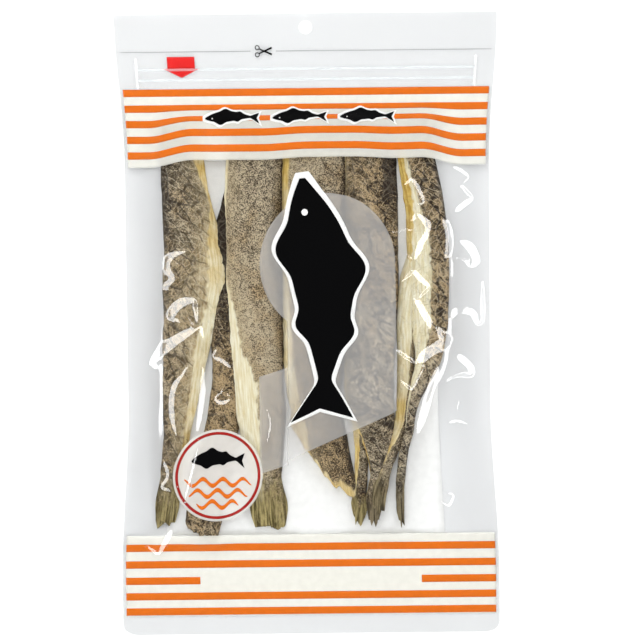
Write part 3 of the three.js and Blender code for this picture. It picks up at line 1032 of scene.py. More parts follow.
# %% Clear film and zip
# The second tint is painted shade, for tilted film and for the loose margins beside the fish.
FILM_TINT, FILM_SHADE_TINT = (0.984, 0.988, 0.99, 1), (0.95, 0.953, 0.956, 1)
TILTED, LEVEL = 0.88, 0.995
FILM_MIRROR, FILM_HAZE, FRESNEL_POWER = 0.12, 0.06, 5.0
FILM_ROUGHNESS, HAZE_ROUGHNESS, RIB_ROUGHNESS = 0.06, 0.28, 0.45
WHITE = (1, 1, 1, 1)
# Soft noise lies mostly between these two.
SOFT = (0.3, 0.7)
STREAK, STREAK_STRETCH = 900.0, (0.05, 1, 1)
ZIP_TONE, ZIP_COVER = (0.82, 0.85, 0.87, 1), 0.14
WELD_TONE, WELD_COVER = (0.95, 0.95, 0.95, 1), 0.55


def film_finish():
    """Clear glossy laminate."""
    finish, tree = new_finish("clear_film")
    upright = tree.add("ShaderNodeSeparateXYZ", {0: tree.coordinate("Normal")}).node.outputs["Z"]
    # Painted shade: the tint darkens where the film tilts and on the loose margins beside the fish.
    level = tree.span(tree.add("ShaderNodeMath", {0: upright}, operation="ABSOLUTE"), TILTED, LEVEL)
    firm = tree.add("ShaderNodeMath", {0: level, 1: tree.fact("slack")}, operation="SUBTRACT")
    tint = tree.mix(firm, FILM_SHADE_TINT, FILM_TINT)
    through = tree.add("ShaderNodeBsdfTransparent", {"Color": tint})
    sharp = tree.add("ShaderNodeBsdfGlossy", {"Color": WHITE, "Roughness": FILM_ROUGHNESS})
    soft = tree.add("ShaderNodeBsdfGlossy", {"Color": WHITE, "Roughness": HAZE_ROUGHNESS})
    gloss = tree.add("ShaderNodeMixShader", {0: FILM_HAZE, 1: sharp, 2: soft})
    edge_on = tree.add("ShaderNodeLayerWeight", {"Blend": 0.5}).node.outputs["Facing"]
    steep = tree.add("ShaderNodeMath", {0: edge_on, 1: FRESNEL_POWER}, operation="POWER")
    share = tree.span(steep, 0.0, 1.0, FILM_MIRROR, 1.0)
    surface = tree.add("ShaderNodeMixShader", {0: share, 1: through, 2: gloss})
    tree.add("ShaderNodeOutputMaterial", {0: surface})
    return finish


def milky_finish(name, body, cover):
    """Clear plastic with a share of white body, as in zip ribs and crushed welds."""
    finish, tree = new_finish(name)
    through = tree.add("ShaderNodeBsdfTransparent", {"Color": FILM_TINT})
    drawn = tree.add("ShaderNodeMapping", {"Vector": tree.coordinate("Object"), "Scale": STREAK_STRETCH})
    share = tree.span(tree.noise(drawn, STREAK, 1.0), *SOFT, cover, 1.25 * cover)
    satin = {"Base Color": body, "Roughness": RIB_ROUGHNESS, "Specular IOR Level": 0.2}
    milk = tree.add("ShaderNodeBsdfPrincipled", satin)
    surface = tree.add("ShaderNodeMixShader", {0: share, 1: through, 2: milk})
    tree.add("ShaderNodeOutputMaterial", {0: surface})
    return finish


film = film_finish()
zip_plastic = milky_finish("zip_plastic", ZIP_TONE, ZIP_COVER)
weld_plastic = milky_finish("weld_plastic", WELD_TONE, WELD_COVER)
pouch_film.data.materials.clear()
pouch_film.data.materials.append(film)
print("film finishes:", film.name, zip_plastic.name, weld_plastic.name)

# %% Inks
# For each ink: its colour, how much it hides from 0 to 1, its slot, and how far it lies below the film.
INKS = {
    "white_ink": ((255, 253, 243), 0.66, "white_ink", 0.23),
    "solid_white": ((250, 250, 248), 1.0, "white_ink", 0.13),
    "orange_ink": ((240, 121, 24), 0.88, "orange_ink", 0.16),
    "red_ink": ((238, 44, 42), 0.92, "red_ink", 0.16),
    "deep_red_ink": ((176, 40, 36), 0.9, "red_ink", 0.16),
    "black_ink": ((5, 5, 6), 1.0, "black_ink", 0.10),
    "veil_ink": ((234, 233, 232), 0.32, "white_ink", 0.30),
    "badge_ink": ((252, 248, 242), 0.7, "white_ink", 0.23),
}
INK_ROUGHNESS = 0.32
INK_MOTTLE, MOTTLE_DARK, MOTTLE_PALE = 260.0, 0.96, 1.02
BACK_COVER = 0.02


def ink_finish(name, tone, cover):
    """Ink of one colour."""
    finish, tree = new_finish(name)
    mottle = tree.noise(tree.coordinate("Object"), INK_MOTTLE, 3.0)
    shade = tree.span(mottle, 0.25, 0.75, MOTTLE_DARK, MOTTLE_PALE)
    grey = tree.add("ShaderNodeCombineColor", {0: shade, 1: shade, 2: shade})
    paint = tree.mix(1.0, colour(*tone), grey, "MULTIPLY")
    satin = {"Base Color": paint, "Roughness": INK_ROUGHNESS, "Specular IOR Level": 0.0}
    surface = tree.add("ShaderNodeBsdfPrincipled", satin)
    if cover < 1:
        through = tree.add("ShaderNodeBsdfTransparent", {"Color": WHITE})
        surface = tree.add("ShaderNodeMixShader", {0: cover, 1: through, 2: surface})
    tree.add("ShaderNodeOutputMaterial", {0: surface})
    return finish


inks = {name: ink_finish(name, tone, cover) for name, (tone, cover, _, _) in INKS.items()}
clear_back = ink_finish("clear_back", (255, 255, 255), BACK_COVER)
print("inks:", ", ".join(inks))

# %% Patterns of dry skin
SPECKLE, CLUMP, BREAK, BLOTCH = (1 / (size * MM) for size in (0.66, 2.4, 5.0, 14.0))
GRAIN, GRAIN_STRETCH = 900.0, (0.1, 1, 1)
WRINKLE_STRETCH, BEND_LONG, BEND_FAR = 2.6, 2.2, 0.8
# For each net of wrinkles: its slant, the size of its cells, and the width of its lines in cells.
FINE_NETS = ((math.radians(52), 3.2, 0.14), (math.radians(-47), 2.7, 0.14))
DEEP_NET = (math.radians(38), 5.6, 0.085)
# The noise at which each net goes from faint to full, so that the nets take turns.
ONE_NET_FROM, OTHER_NET_FROM, DEEP_NET_FROM, FAINT = (0.38, 0.58), (0.62, 0.42), (0.38, 0.54), 0.1


def wrinkle_net(tree, skin_map, turn, pitch, wide):
    """A net of long cells on one slant of the skin's map: its lines, and a tone for each cell."""
    bend = tree.noise(skin_map, 1 / (BEND_LONG * pitch * MM), 1.0).node.outputs["Color"]
    sockets = {0: bend, 1: (BEND_FAR * pitch * MM,) * 3, 2: skin_map}
    warped = tree.add("ShaderNodeVectorMath", sockets, operation="MULTIPLY_ADD")
    sockets = {"Vector": warped, "Rotation": (0, 0, turn), "Scale": (WRINKLE_STRETCH, 1, 1)}
    turned = tree.add("ShaderNodeMapping", sockets, vector_type="TEXTURE")
    sizes = {"Vector": turned, "Scale": 1 / (pitch * MM)}
    off = tree.add("ShaderNodeTexVoronoi", sizes, feature="DISTANCE_TO_EDGE")
    cell = tree.add("ShaderNodeTexVoronoi", sizes, feature="F1").node.outputs["Color"]
    return tree.span(off, wide, 0.0), tree.add("ShaderNodeSeparateColor", {0: cell})


def skin_patterns(tree, wrinkle):
    """The speckles, blotches, grain and wrinkles that colours and relief share."""
    p = SimpleNamespace()
    skin_map, place = tree.add("ShaderNodeUVMap", uv_map="skin"), tree.coordinate("Object")
    p.speckle = tree.noise(place, SPECKLE, 3.0, Roughness=0.75)
    p.blotch = tree.noise(place, BLOTCH, 3.0)
    p.clump = tree.noise(place, CLUMP, 1.0)
    stretched = tree.add("ShaderNodeMapping", {"Vector": skin_map, "Scale": GRAIN_STRETCH})
    p.grain = tree.noise(stretched, GRAIN, 3.0)
    p.fibre = tree.span(p.grain, *SOFT)
    one, one_cell = wrinkle_net(tree, skin_map, *FINE_NETS[0])
    other, _ = wrinkle_net(tree, skin_map, *FINE_NETS[1])
    one = tree.times(one, tree.span(p.blotch, *ONE_NET_FROM, FAINT, 1))
    other = tree.times(other, tree.span(p.blotch, *OTHER_NET_FROM, FAINT, 1))
    p.lines = tree.times(tree.add("ShaderNodeMath", {0: one, 1: other}, operation="MAXIMUM"), wrinkle)
    deep, deep_cell = wrinkle_net(tree, skin_map, *DEEP_NET)
    broken = tree.span(tree.noise(place, BREAK, 1.0), *DEEP_NET_FROM)
    p.deep = tree.times(tree.times(deep, broken), wrinkle)
    p.cells = tree.times(tree.plus(one_cell, deep_cell), wrinkle)
    return p


print("nets of wrinkles:", len(FINE_NETS), "fine and one deep")


# %% Dry fish skin and flesh
# Colours of the fish. A pair is mixed by a pattern.
SKIN_DARK = (colour(34, 21, 8), colour(44, 32, 18))
SKIN_PALE = (colour(190, 164, 122), colour(200, 184, 154))
BELLY_TAN = (colour(212, 196, 158), colour(172, 150, 108))
FLESH_GOLD = (colour(228, 200, 116), colour(188, 148, 62))
FLESH_CREAM = (colour(244, 239, 216), colour(226, 213, 170))
TAIL_BROWN = (colour(42, 34, 24), colour(146, 132, 108))
TAIL_OLIVE = (colour(84, 72, 34), colour(188, 172, 116))
# Painted highlight on wrinkle lines and painted shade in deep wrinkles.
SKIN_LINE_HIGHLIGHT, BELLY_LINE_HIGHLIGHT = colour(206, 196, 176), colour(232, 222, 196)
BELLY_DEEP_SHADE, TAIL_SPECK = colour(108, 88, 58), colour(40, 32, 16)
# How much each pattern takes from the skin's lightness at its least, and adds at its most.
SPECKLE_LIGHT, BLOTCH_LIGHT, CLUMP_LIGHT = (-0.98, 0.92), (-0.1, 0.1), (-0.15, 0.15)
# Crest: painted shade in the relief's hollows and a painted highlight on its crests. Edge: painted shade at
# the rims, with dark back skin.
CREST_SHADE_AND_HIGHLIGHT, CELL_LIGHT, EDGE_SKIN_AND_SHADE = (-0.12, 0.16), (0.0, -0.34), (-1.3, -0.6)
LINE_HIGHLIGHT, DEEP_SHADE = 0.4, -0.85
COOL_SHIFT, GOLD_SHIFT = 0.25, (-0.2, 0.2)
SKIN_HIGHLIGHT_SHARE, BELLY_HIGHLIGHT_SHARE, BELLY_SHADE_SHARE, TAIL_SPECK_SHARE = 0.16, 0.36, 0.6, 0.3
FISH_ROUGHNESS, FISH_GLOSS, RELIEF_STRENGTH, RELIEF_DEPTH = 0.6, 0.3, 0.7, 0.4
LINE_RELIEF, DEEP_RELIEF, GRAIN_RELIEF = 1.3, -2.0, 0.5


def skin_colour(tree, fact, p):
    """Dark and pale speckles, a painted highlight on fine wrinkles and painted shade in deep ones, tan
    towards the belly.
    """
    patch = tree.span(tree.plus(p.blotch, tree.times(fact["cool"], COOL_SHIFT)), 0.35, 0.65)
    dark, pale = tree.mix(patch, *SKIN_DARK), tree.mix(patch, *SKIN_PALE)
    strength = tree.span(fact["wrinkle"], 0.0, 1.0, 1.3, 0.7)
    light = tree.plus(
        fact["tone"],
        tree.times(tree.span(p.speckle, *SOFT, *SPECKLE_LIGHT), strength),
        tree.span(p.blotch, *SOFT, *BLOTCH_LIGHT),
        # Painted shade in the relief's hollows and a painted highlight on its crests.
        tree.span(fact["crest"], 0.1, 0.9, *CREST_SHADE_AND_HIGHLIGHT),
        tree.times(tree.span(p.clump, *SOFT, *CLUMP_LIGHT), strength),
        # Painted highlight on fine wrinkle lines and painted shade in deep ones.
        tree.times(p.lines, LINE_HIGHLIGHT),
        tree.times(p.deep, DEEP_SHADE),
        tree.span(p.cells, 0.4, 1.6, *CELL_LIGHT),
        # Painted shade with dark back skin: the edge fact darkens the rims and the dark band.
        tree.times(fact["edge"], tree.span(p.speckle, 0.35, 0.65, *EDGE_SKIN_AND_SHADE)),
    )
    skin = tree.mix(tree.span(light, 0.0, 1.0), dark, pale)
    # Painted highlight on the wrinkle lines, and on the tan painted shade in deep wrinkles.
    skin = tree.mix(tree.times(p.lines, SKIN_HIGHLIGHT_SHARE), skin, SKIN_LINE_HIGHLIGHT)
    tan = tree.mix(p.fibre, *BELLY_TAN)
    tan = tree.mix(tree.times(p.lines, BELLY_HIGHLIGHT_SHARE), tan, BELLY_LINE_HIGHLIGHT)
    tan = tree.mix(tree.times(p.deep, BELLY_SHADE_SHARE), tan, BELLY_DEEP_SHADE)
    return tree.mix(fact["belly"], skin, tan)


def flesh_colour(tree, fact, p):
    """Cream flesh, golden where it has dried longest, in fibres along the body."""
    golden, cream = tree.mix(p.fibre, *FLESH_GOLD), tree.mix(p.fibre, *FLESH_CREAM)
    gold = tree.plus(fact["gold"], tree.span(p.blotch, *SOFT, *GOLD_SHIFT))
    return tree.mix(tree.span(gold, 0.0, 1.0), cream, golden)


def tail_colour(tree, fact, p):
    """Brown to olive rays with dark specks."""
    strand = tree.plus(tree.times(fact["crest"], 0.4), tree.times(p.grain, 0.6))
    strand = tree.span(strand, 0.36, 0.62)
    brown, olive = tree.mix(strand, *TAIL_BROWN), tree.mix(strand, *TAIL_OLIVE)
    ray = tree.mix(fact["olive"], brown, olive)
    return tree.mix(tree.span(p.speckle, *SOFT, 0, TAIL_SPECK_SHARE), ray, TAIL_SPECK)


def fish_finish():
    """Skin, flesh and tail in one finish, by the facts on each point."""
    finish, tree = new_finish("dry_fish")
    fact = {word: tree.fact(word) for word in FACTS}
    p = skin_patterns(tree, fact["wrinkle"])
    body = tree.mix(fact["flesh"], skin_colour(tree, fact, p), flesh_colour(tree, fact, p))
    body = tree.mix(fact["tail"], body, tail_colour(tree, fact, p))
    wrinkles = tree.plus(tree.times(p.lines, LINE_RELIEF), tree.times(p.deep, DEEP_RELIEF))
    height = tree.plus(p.speckle, tree.span(p.grain, 0.2, 0.8, 0, GRAIN_RELIEF), wrinkles)
    sockets = {"Strength": RELIEF_STRENGTH, "Distance": RELIEF_DEPTH * MM, "Height": height}
    relief = tree.add("ShaderNodeBump", sockets)
    sockets = {"Base Color": body, "Roughness": FISH_ROUGHNESS, "Normal": relief}
    sockets["Specular IOR Level"] = FISH_GLOSS
    tree.add("ShaderNodeOutputMaterial", {0: tree.add("ShaderNodeBsdfPrincipled", sockets)})
    return finish


dry_fish = fish_finish()
for fish_piece in fish_pieces:
    fish_piece.data.materials.append(dry_fish)
print("painted", len(fish_pieces), "fish with", len(dry_fish.node_tree.nodes), "nodes")

# %% [markdown]
# ## Print on the front
# The pouch is printed with two pale bands of orange stripes, above and below a window, an arrow
# tab at the zip and a cut line. Between them stand a dark fish mark and a round badge of waves.
# Each shape is a flat grid, fine enough to bend with the film, and Solidify gives it the
# thickness of a closed shell. The back film has a plain white panel behind the fish.

# %% Flat shapes
INK_STEP, FINE_STEP, PANEL_STEP = 1.6, 0.4, 4
FEWEST_TURNS, DISC = 24, 0.5
PIN_HOLE, FINE_PIN_HOLE = 0.2, 0.1


def flat_rows(low, high, left, right, step=INK_STEP):
    """A flat grid between two heights. Left and right are functions of the height."""
    rows = max(3, int((high - low) / step) + 2)
    v = np.linspace(low, high, rows)[:, None]
    columns = max(3, int(float(np.max(right(v) - left(v))) / step) + 2)
    u = left(v) + (right(v) - left(v)) * np.linspace(0, 1, columns)[None, :]
    return np.stack([u, v + 0 * u, 0 * u], -1).reshape(-1, 3), grid_faces(rows, columns)


def flat_ring(middle, inner, outer, step=INK_STEP):
    """A flat ring round a middle, or a disc when the inner radius is nearly nothing."""
    turns = max(FEWEST_TURNS, int(2 * math.pi * outer / step))
    radii = np.linspace(inner, outer, max(2, int((outer - inner) / step) + 2))[:, None]
    turn = np.linspace(0, 2 * math.pi, turns, endpoint=False)
    u, v = middle[0] + radii * np.cos(turn), middle[1] + radii * np.sin(turn)
    faces = [f[::-1] for f in grid_faces(len(radii), turns, wrap=True)]
    if inner < DISC:
        faces.append(list(range(turns)))
    return np.stack([u, v, 0 * u], -1).reshape(-1, 3), faces


def join_flat(shapes):
    """Several flat shapes as one."""
    points, faces = [], []
    for some, their_faces in shapes:
        start = sum(len(p) for p in points)
        points.append(some)
        faces += [[start + k for k in face] for face in their_faces]
    return np.vstack(points), faces


def straight(u):
    """A straight side."""
    return lambda v: u + 0 * v


print("flat shapes step by", INK_STEP, "mm")

# %% Laying a flat shape
INK_THICK = 0.03
pieces = {}


def lay(name, shape, finish, slot, lift, sheet=front_sheet):
    """Lays a flat shape on a sheet, lifted from it or (below 0) let down, as a thin closed shell."""
    piece = add_mesh(name, *shape)
    for each in (finish, clear_back):
        piece.data.materials.append(each)
    run_tree(piece, lay_tree, Sheet=sheet, Rise=lift * MM, Material=finish)
    shell = piece.modifiers.new("ink", "SOLIDIFY")
    shell.thickness, shell.offset = INK_THICK * MM, 0
    shell.material_offset, shell.material_offset_rim = 1, 1
    finish_mesh(piece)
    pieces[name] = (piece, slot)


def lay_ink(name, shapes, ink, depth=None):
    """Lays flat shapes of one ink under the front film."""
    _, _, slot, usual = INKS[ink]
    lay(name, join_flat(shapes), inks[ink], slot, -(depth or usual))


print("ink is", INK_THICK, "mm thick")

# %% Pale bands and stripes
TOP_BAND, BOTTOM_BAND = (92.2, 138.2), (-171.5, -123.8)
PRINT_INSET = 2.0
STRIPE_WIDTH = 4.3
STRIPES = (136.1, 126.8, 117.7, 108.4, 99.2, -131.1, -140.9, -150.5, -159.6, -168.5)
BROKEN_STRIPE, BARE_HALF = -150.5, 65.0


def left_edge(v):
    """The left side of the print, a little inside the film's edge."""
    return PRINT_INSET - flat_half(v)


def right_edge(v):
    """The right side of the print."""
    return flat_half(v) - PRINT_INSET


def stripe(middle, left=left_edge, right=right_edge):
    """One stripe."""
    return flat_rows(middle - STRIPE_WIDTH / 2, middle + STRIPE_WIDTH / 2, left, right)


lay_ink("top_band", [flat_rows(*TOP_BAND, left_edge, right_edge)], "white_ink")
lay_ink("bottom_band", [flat_rows(*BOTTOM_BAND, left_edge, right_edge)], "white_ink")
stripes = []
for v in STRIPES:
    if v == BROKEN_STRIPE:
        stripes += [stripe(v, right=straight(-BARE_HALF)), stripe(v, left=straight(BARE_HALF))]
    else:
        stripes.append(stripe(v))
lay_ink("orange_stripes", stripes, "orange_ink")
print(len(stripes), "stripes")

# %% Arrow tab and scissors mark
TAB_X, TAB_TOP, TAB_NECK, TAB_TIP = -74.2, 157.2, 150.2, 145.0
TAB_HALF, TAB_HEAD_HALF, TAB_POINT, TAB_GAP = 8.2, 10.6, 0.25, 0.01
SCISSORS_X, SCISSORS_Y = -28.6, 160.1
GRIP_RADIUS, GRIP_HOLE, GRIP_APART = 1.45, 0.65, 2.1
BLADE_START, BLADE_END, BLADE_ROOT, BLADE_TIP = (1, 1.4), (8.6, 2.0), 0.4, 0.55


def tab_side(side):
    """The slanted sides of the arrow's head."""
    slope = (TAB_HEAD_HALF - TAB_POINT) / (TAB_NECK - TAB_TIP)
    return lambda v: TAB_X + side * (TAB_POINT + slope * (v - TAB_TIP))


def blade(start, end):
    """A flat taper between two places."""
    aside = directions(np.array([start, end], float))[1][0]
    ends = ((start, BLADE_ROOT), (start, -BLADE_ROOT), (end, -BLADE_TIP), (end, BLADE_TIP))
    return np.array([[*(np.array(at) + aside * half), 0] for at, half in ends]), [[0, 1, 2, 3]]


shaft = flat_rows(TAB_NECK, TAB_TOP, straight(TAB_X - TAB_HALF), straight(TAB_X + TAB_HALF))
head = flat_rows(TAB_TIP, TAB_NECK - TAB_GAP, tab_side(-1), tab_side(1))
lay_ink("arrow_tab", [shaft, head], "red_ink")
scissors = []
for side in (-1, 1):
    grip = (SCISSORS_X, SCISSORS_Y + side * GRIP_APART)
    scissors.append(flat_ring(grip, GRIP_HOLE * GRIP_RADIUS, GRIP_RADIUS, FINE_STEP))
    start = (SCISSORS_X + BLADE_START[0], SCISSORS_Y + side * BLADE_START[1])
    end = (SCISSORS_X + BLADE_END[0], SCISSORS_Y - side * BLADE_END[1])
    scissors.append(blade(start, end))
lay_ink("scissors_mark", scissors, "black_ink")
print("arrow tab and scissors mark laid")

# %% Panel behind the fish
PANEL_LOW, PANEL_HIGH, PANEL_LEFT, PANEL_RIGHT = -123.7, 92.1, -85.0, 79.5
PANEL_LIFT = 0.04

behind = [flat_rows(PANEL_LOW, PANEL_HIGH, straight(PANEL_LEFT), straight(PANEL_RIGHT), PANEL_STEP)]
behind += [flat_rows(*band, left_edge, right_edge, PANEL_STEP) for band in (TOP_BAND, BOTTOM_BAND)]
lay("back_panel", join_flat(behind), inks["solid_white"], "white_ink", PANEL_LIFT, back_sheet)
print("back panel:", PANEL_RIGHT - PANEL_LEFT, "mm wide")

# %% Veil behind the mark
VEIL_MIDDLE, VEIL_RADIUS = (12.0, 34.5), 41.5
VEIL_LEFT, VEIL_RIGHT = -13.0, VEIL_MIDDLE[0] + VEIL_RADIUS
VEIL_CORNER, VEIL_FOOT, FOOT_LEAST, VEIL_TOP_GAP = -52.0, -80.0, 0.01, 0.05
FLAG_LOW, FLAG_HIGH, FLAG_LEFT, FLAG_RIGHT, FLAG_SLANT = -88.0, -31.0, -30.5, -13.1, 0.3


def veil_side(side):
    """The side of a disc that goes over into a panel with a slanted foot, at each height."""
    def at(v):
        disc = np.sqrt(np.maximum(VEIL_RADIUS ** 2 - (v - VEIL_MIDDLE[1]) ** 2, 0))
        disc = VEIL_MIDDLE[0] + side * disc
        if side < 0:
            return np.where(v > VEIL_MIDDLE[1], disc, np.minimum(disc, VEIL_LEFT))
        slant = np.clip((v - VEIL_FOOT) / (VEIL_CORNER - VEIL_FOOT), FOOT_LEAST, 1)
        return np.where(v > VEIL_MIDDLE[1], disc, VEIL_LEFT + (VEIL_RIGHT - VEIL_LEFT) * slant)
    return at


veil_top = VEIL_MIDDLE[1] + VEIL_RADIUS - VEIL_TOP_GAP
veil = flat_rows(VEIL_FOOT, veil_top, veil_side(-1), veil_side(1))
flag = flat_rows(FLAG_LOW, FLAG_HIGH, straight(FLAG_LEFT), straight(FLAG_RIGHT))
flag[0][:, 1] += FLAG_SLANT * (flag[0][:, 0] - FLAG_LEFT)
lay_ink("pale_veil", [veil, flag], "veil_ink")
print("veil:", len(veil[1]) + len(flag[1]), "flat faces")

# %% Fish marks
MARK_ROWS, MARK_COLUMNS, MARK_ROUNDS = 90, 23, 3
MARK_NOTCH, NOTCH_REACH, MARK_BEND = 0.05, 0.12, 0.06
BODY_HALF, BODY_START, LEAST_HALF, TAIL_REACH = 0.125, 0.12, 0.012, 0.18
NOSE_SHIFT, BODY_ROUND, TAIL_CURVE = 1.35, 0.8, 0.9
BIG_FIN_OUT, BIG_FIN_HALF, SMALL_FIN_OUT, SMALL_FIN_HALF = 0.055, 0.13, 0.04, 0.08
# For the right and the left side: the tail's half width and where the large and small fins are.
MARK_SIDES = {1: (0.13, 0.62, 0.35), -1: (0.12, 0.72, 0.4)}
EYE_AT, EYE_RADIUS, EYE_DEPTH = 0.37, 0.014, 0.05
OUTLINE_UNDER = 0.1
# For each mark: its middle, its length, how far it is turned, and the width of its outline.
MARKS = [((2.0, 13.0), 140.0, 0.07, 2.4)]
MARKS += [((u, 117.4), 33.0, math.pi / 2, 1.5) for u in (-45.0, -4.0, 37.0)]


def hump(at, middle, half):
    """A round hump: 1 in the middle, 0 at half a width away."""
    return 0.5 + 0.5 * np.cos(math.pi * np.clip((at - middle) / half, -1, 1))


def mark_edge(share, side):
    """How far a plain fish outline reaches to one side, from its tail at 0 to its nose at 1."""
    tail_half, big_fin, small_fin = MARK_SIDES[side]
    body = np.clip((share - BODY_START) / (1 - BODY_START), 0, 1) ** NOSE_SHIFT
    body = BODY_HALF * np.sin(math.pi * body) ** BODY_ROUND
    tail = tail_half * np.clip(1 - share / TAIL_REACH, 0, 1) ** TAIL_CURVE
    fins = BIG_FIN_OUT * hump(share, big_fin, BIG_FIN_HALF)
    fins = fins + SMALL_FIN_OUT * hump(share, small_fin, SMALL_FIN_HALF)
    return np.maximum(body, tail) + fins + LEAST_HALF


def turned(middle, turn, u, v):
    """A place turned round the origin and moved to a middle."""
    c, s = math.cos(turn), math.sin(turn)
    return middle[0] + c * u - s * v, middle[1] + s * u + c * v


def fish_mark(middle, length, turn, grow=0.0):
    """A plain fish outline, drawn nose up and then turned into place."""
    share = np.linspace(0, 1, MARK_ROWS)[:, None]
    across = np.linspace(-1, 1, MARK_COLUMNS)[None, :]
    reach = even_out(np.where(across > 0, mark_edge(share, 1), mark_edge(share, -1)), MARK_ROUNDS)
    u = across * (reach * length + grow) + MARK_BEND * length * np.sin(math.pi * share)
    notch = MARK_NOTCH * (1 - np.abs(across)) * np.clip(1 - share / NOTCH_REACH, 0, 1)
    v = (share - 0.5 + notch) * (length + 2 * grow)
    points = np.stack([*turned(middle, turn, u, v), 0 * u], -1)
    return points.reshape(-1, 3), grid_faces(MARK_ROWS, MARK_COLUMNS)


def mark_rim(middle, length, turn, grow):
    """The strip round a fish mark, a little under its edge and out to its own width."""
    loop = grid_rim(np.arange(MARK_ROWS * MARK_COLUMNS).reshape(MARK_ROWS, MARK_COLUMNS))
    inner = fish_mark(middle, length, turn, -OUTLINE_UNDER * grow)[0][loop]
    outer = fish_mark(middle, length, turn, grow)[0][loop]
    rows = [inner, (inner + outer) / 2, outer]
    return np.vstack(rows), [f[::-1] for f in grid_faces(3, len(loop), wrap=True)]


def mark_eye(middle, length, turn):
    """A round eye near the nose."""
    eye = turned(middle, turn, 0.0, EYE_AT * length)
    return flat_ring(eye, FINE_PIN_HOLE, EYE_RADIUS * length, FINE_STEP)


lay_ink("mark_outlines", [mark_rim(*mark) for mark in MARKS], "solid_white")
lay_ink("fish_marks", [fish_mark(*mark[:3]) for mark in MARKS], "black_ink")
lay_ink("mark_eyes", [mark_eye(*mark[:3]) for mark in MARKS], "solid_white", EYE_DEPTH)
print(len(MARKS), "fish marks")

# %% Round badge
BADGE_MIDDLE, BADGE_RADIUS, BADGE_RING, BADGE_MARGIN = (-55.5, -88.5), 25.6, 1.7, 1.4
WAVES, WAVE_PITCH, WAVE_HIGH, WAVE_THICK = (-4.0, -10.5, -17.0), 12.0, 2.0, 2.6
WAVE_POINTS, WAVE_SHIFT, WAVE_INSET, WAVE_SHORT, WAVE_TIP = 48, 1.6, 3.5, 1.5, 0.02
BADGE_FISH_UP, BADGE_FISH_LENGTH = 8.5, 32.0


def badge_wave(level, number):
    """A wavy band across the badge, kept inside its ring."""
    half = math.sqrt((BADGE_RADIUS - WAVE_INSET) ** 2 - level ** 2) - WAVE_SHORT
    u = np.linspace(-half, half, WAVE_POINTS)
    crest = WAVE_HIGH * np.sin(2 * math.pi * u / WAVE_PITCH + number * WAVE_SHIFT)
    thick = WAVE_THICK * np.sqrt(np.clip(1 - (u / half) ** 4, WAVE_TIP, 1)) / 2
    middle = BADGE_MIDDLE[1] + level + crest
    rows = [np.stack([BADGE_MIDDLE[0] + u, middle + k * thick, 0 * u], -1) for k in (-1, 0, 1)]
    return np.vstack(rows), grid_faces(3, len(u))


lay_ink("badge_face", [flat_ring(BADGE_MIDDLE, PIN_HOLE, BADGE_RADIUS + BADGE_MARGIN)], "badge_ink")
lay_ink("badge_ring", [flat_ring(BADGE_MIDDLE, BADGE_RADIUS - BADGE_RING, BADGE_RADIUS)], "deep_red_ink")
lay_ink("badge_waves", [badge_wave(level, number) for number, level in enumerate(WAVES)], "orange_ink")
badge_fish_at = (BADGE_MIDDLE[0], BADGE_MIDDLE[1] + BADGE_FISH_UP)
lay_ink("badge_fish", [fish_mark(badge_fish_at, BADGE_FISH_LENGTH, math.pi / 2)], "black_ink")
print("badge with", len(WAVES), "waves")

# %% [markdown]
# ## Zip and cut line
# A zip is two ribs extruded across the header, crushed and welded at their ends. The cut line is
# a row of small dots. Both follow the sheet, so both start flat: the ribs as straight edges and
# the dots as single points. Their trees lay them with the same nodes as the ink and then give the
# edges a profile, and each point a small disc.

# %% Zip ribs on a path
ZIP_PLACES = (149.6, 143.4)
RIB_LENGTH, RIB_WIDTH, RIB_HEIGHT, RIB_POINTS, RIB_SIDES = 202.0, 1.5, 0.7, 120, 10
WELD_LOW, WELD_HIGH, WELD_HALF, WELD_LIFT = 138.5, 156.5, 0.8, 0.08

rib_tree, given = new_tree("zip_ribs", "Width", "Height")
rib_path = rib_tree.add("GeometryNodeMeshToCurve", {"Mesh": lay_nodes(rib_tree, given)})
rib_path = rib_tree.add("GeometryNodeSetCurveNormal", {"Curve": rib_path}, mode="Z_UP")
profile = rib_tree.add("GeometryNodeCurvePrimitiveCircle", {"Resolution": RIB_SIDES, "Radius": 0.5})
rib_scale = rib_tree.add("ShaderNodeCombineXYZ", {0: given["Width"], 1: given["Height"]})
profile = rib_tree.add("GeometryNodeTransform", {"Geometry": profile, "Scale": rib_scale})
rib_sockets = {"Curve": rib_path, "Profile Curve": profile, "Fill Caps": True}
finish_nodes(rib_tree, given, rib_tree.add("GeometryNodeCurveToMesh", rib_sockets))

along_rib = np.linspace(-RIB_LENGTH / 2, RIB_LENGTH / 2, RIB_POINTS)
rib_points = [[u, v, 0] for v in ZIP_PLACES for u in along_rib]
rib_edges = [[k, k + 1] for k in range(len(rib_points) - 1) if (k + 1) % RIB_POINTS]
zip_ribs = add_mesh("zip_ribs", rib_points, [], rib_edges)
run_tree(
    zip_ribs, rib_tree, Sheet=front_sheet, Rise=0.5 * RIB_HEIGHT * MM, Material=zip_plastic,
    Width=RIB_WIDTH * MM, Height=RIB_HEIGHT * MM,
)
finish_mesh(zip_ribs)
pieces["zip_ribs"] = (zip_ribs, "zip")
rib_ends = (-RIB_LENGTH / 2, RIB_LENGTH / 2)
welds = [flat_rows(WELD_LOW, WELD_HIGH, straight(u - WELD_HALF), straight(u + WELD_HALF)) for u in rib_ends]
lay("zip_welds", join_flat(welds), weld_plastic, "zip", WELD_LIFT)
print("zip ribs:", len(zip_ribs.data.polygons), "faces")

# %% Dots of the cut line
CUT_LINE, DOT_PITCH, DOT_RADIUS, DOT_SIDES = 160.1, 1.33, 0.31, 8
CUT_RUNS = ((-109.0, -33.0), (-17.0, 109.5))
DOT_DEPTH = 0.10

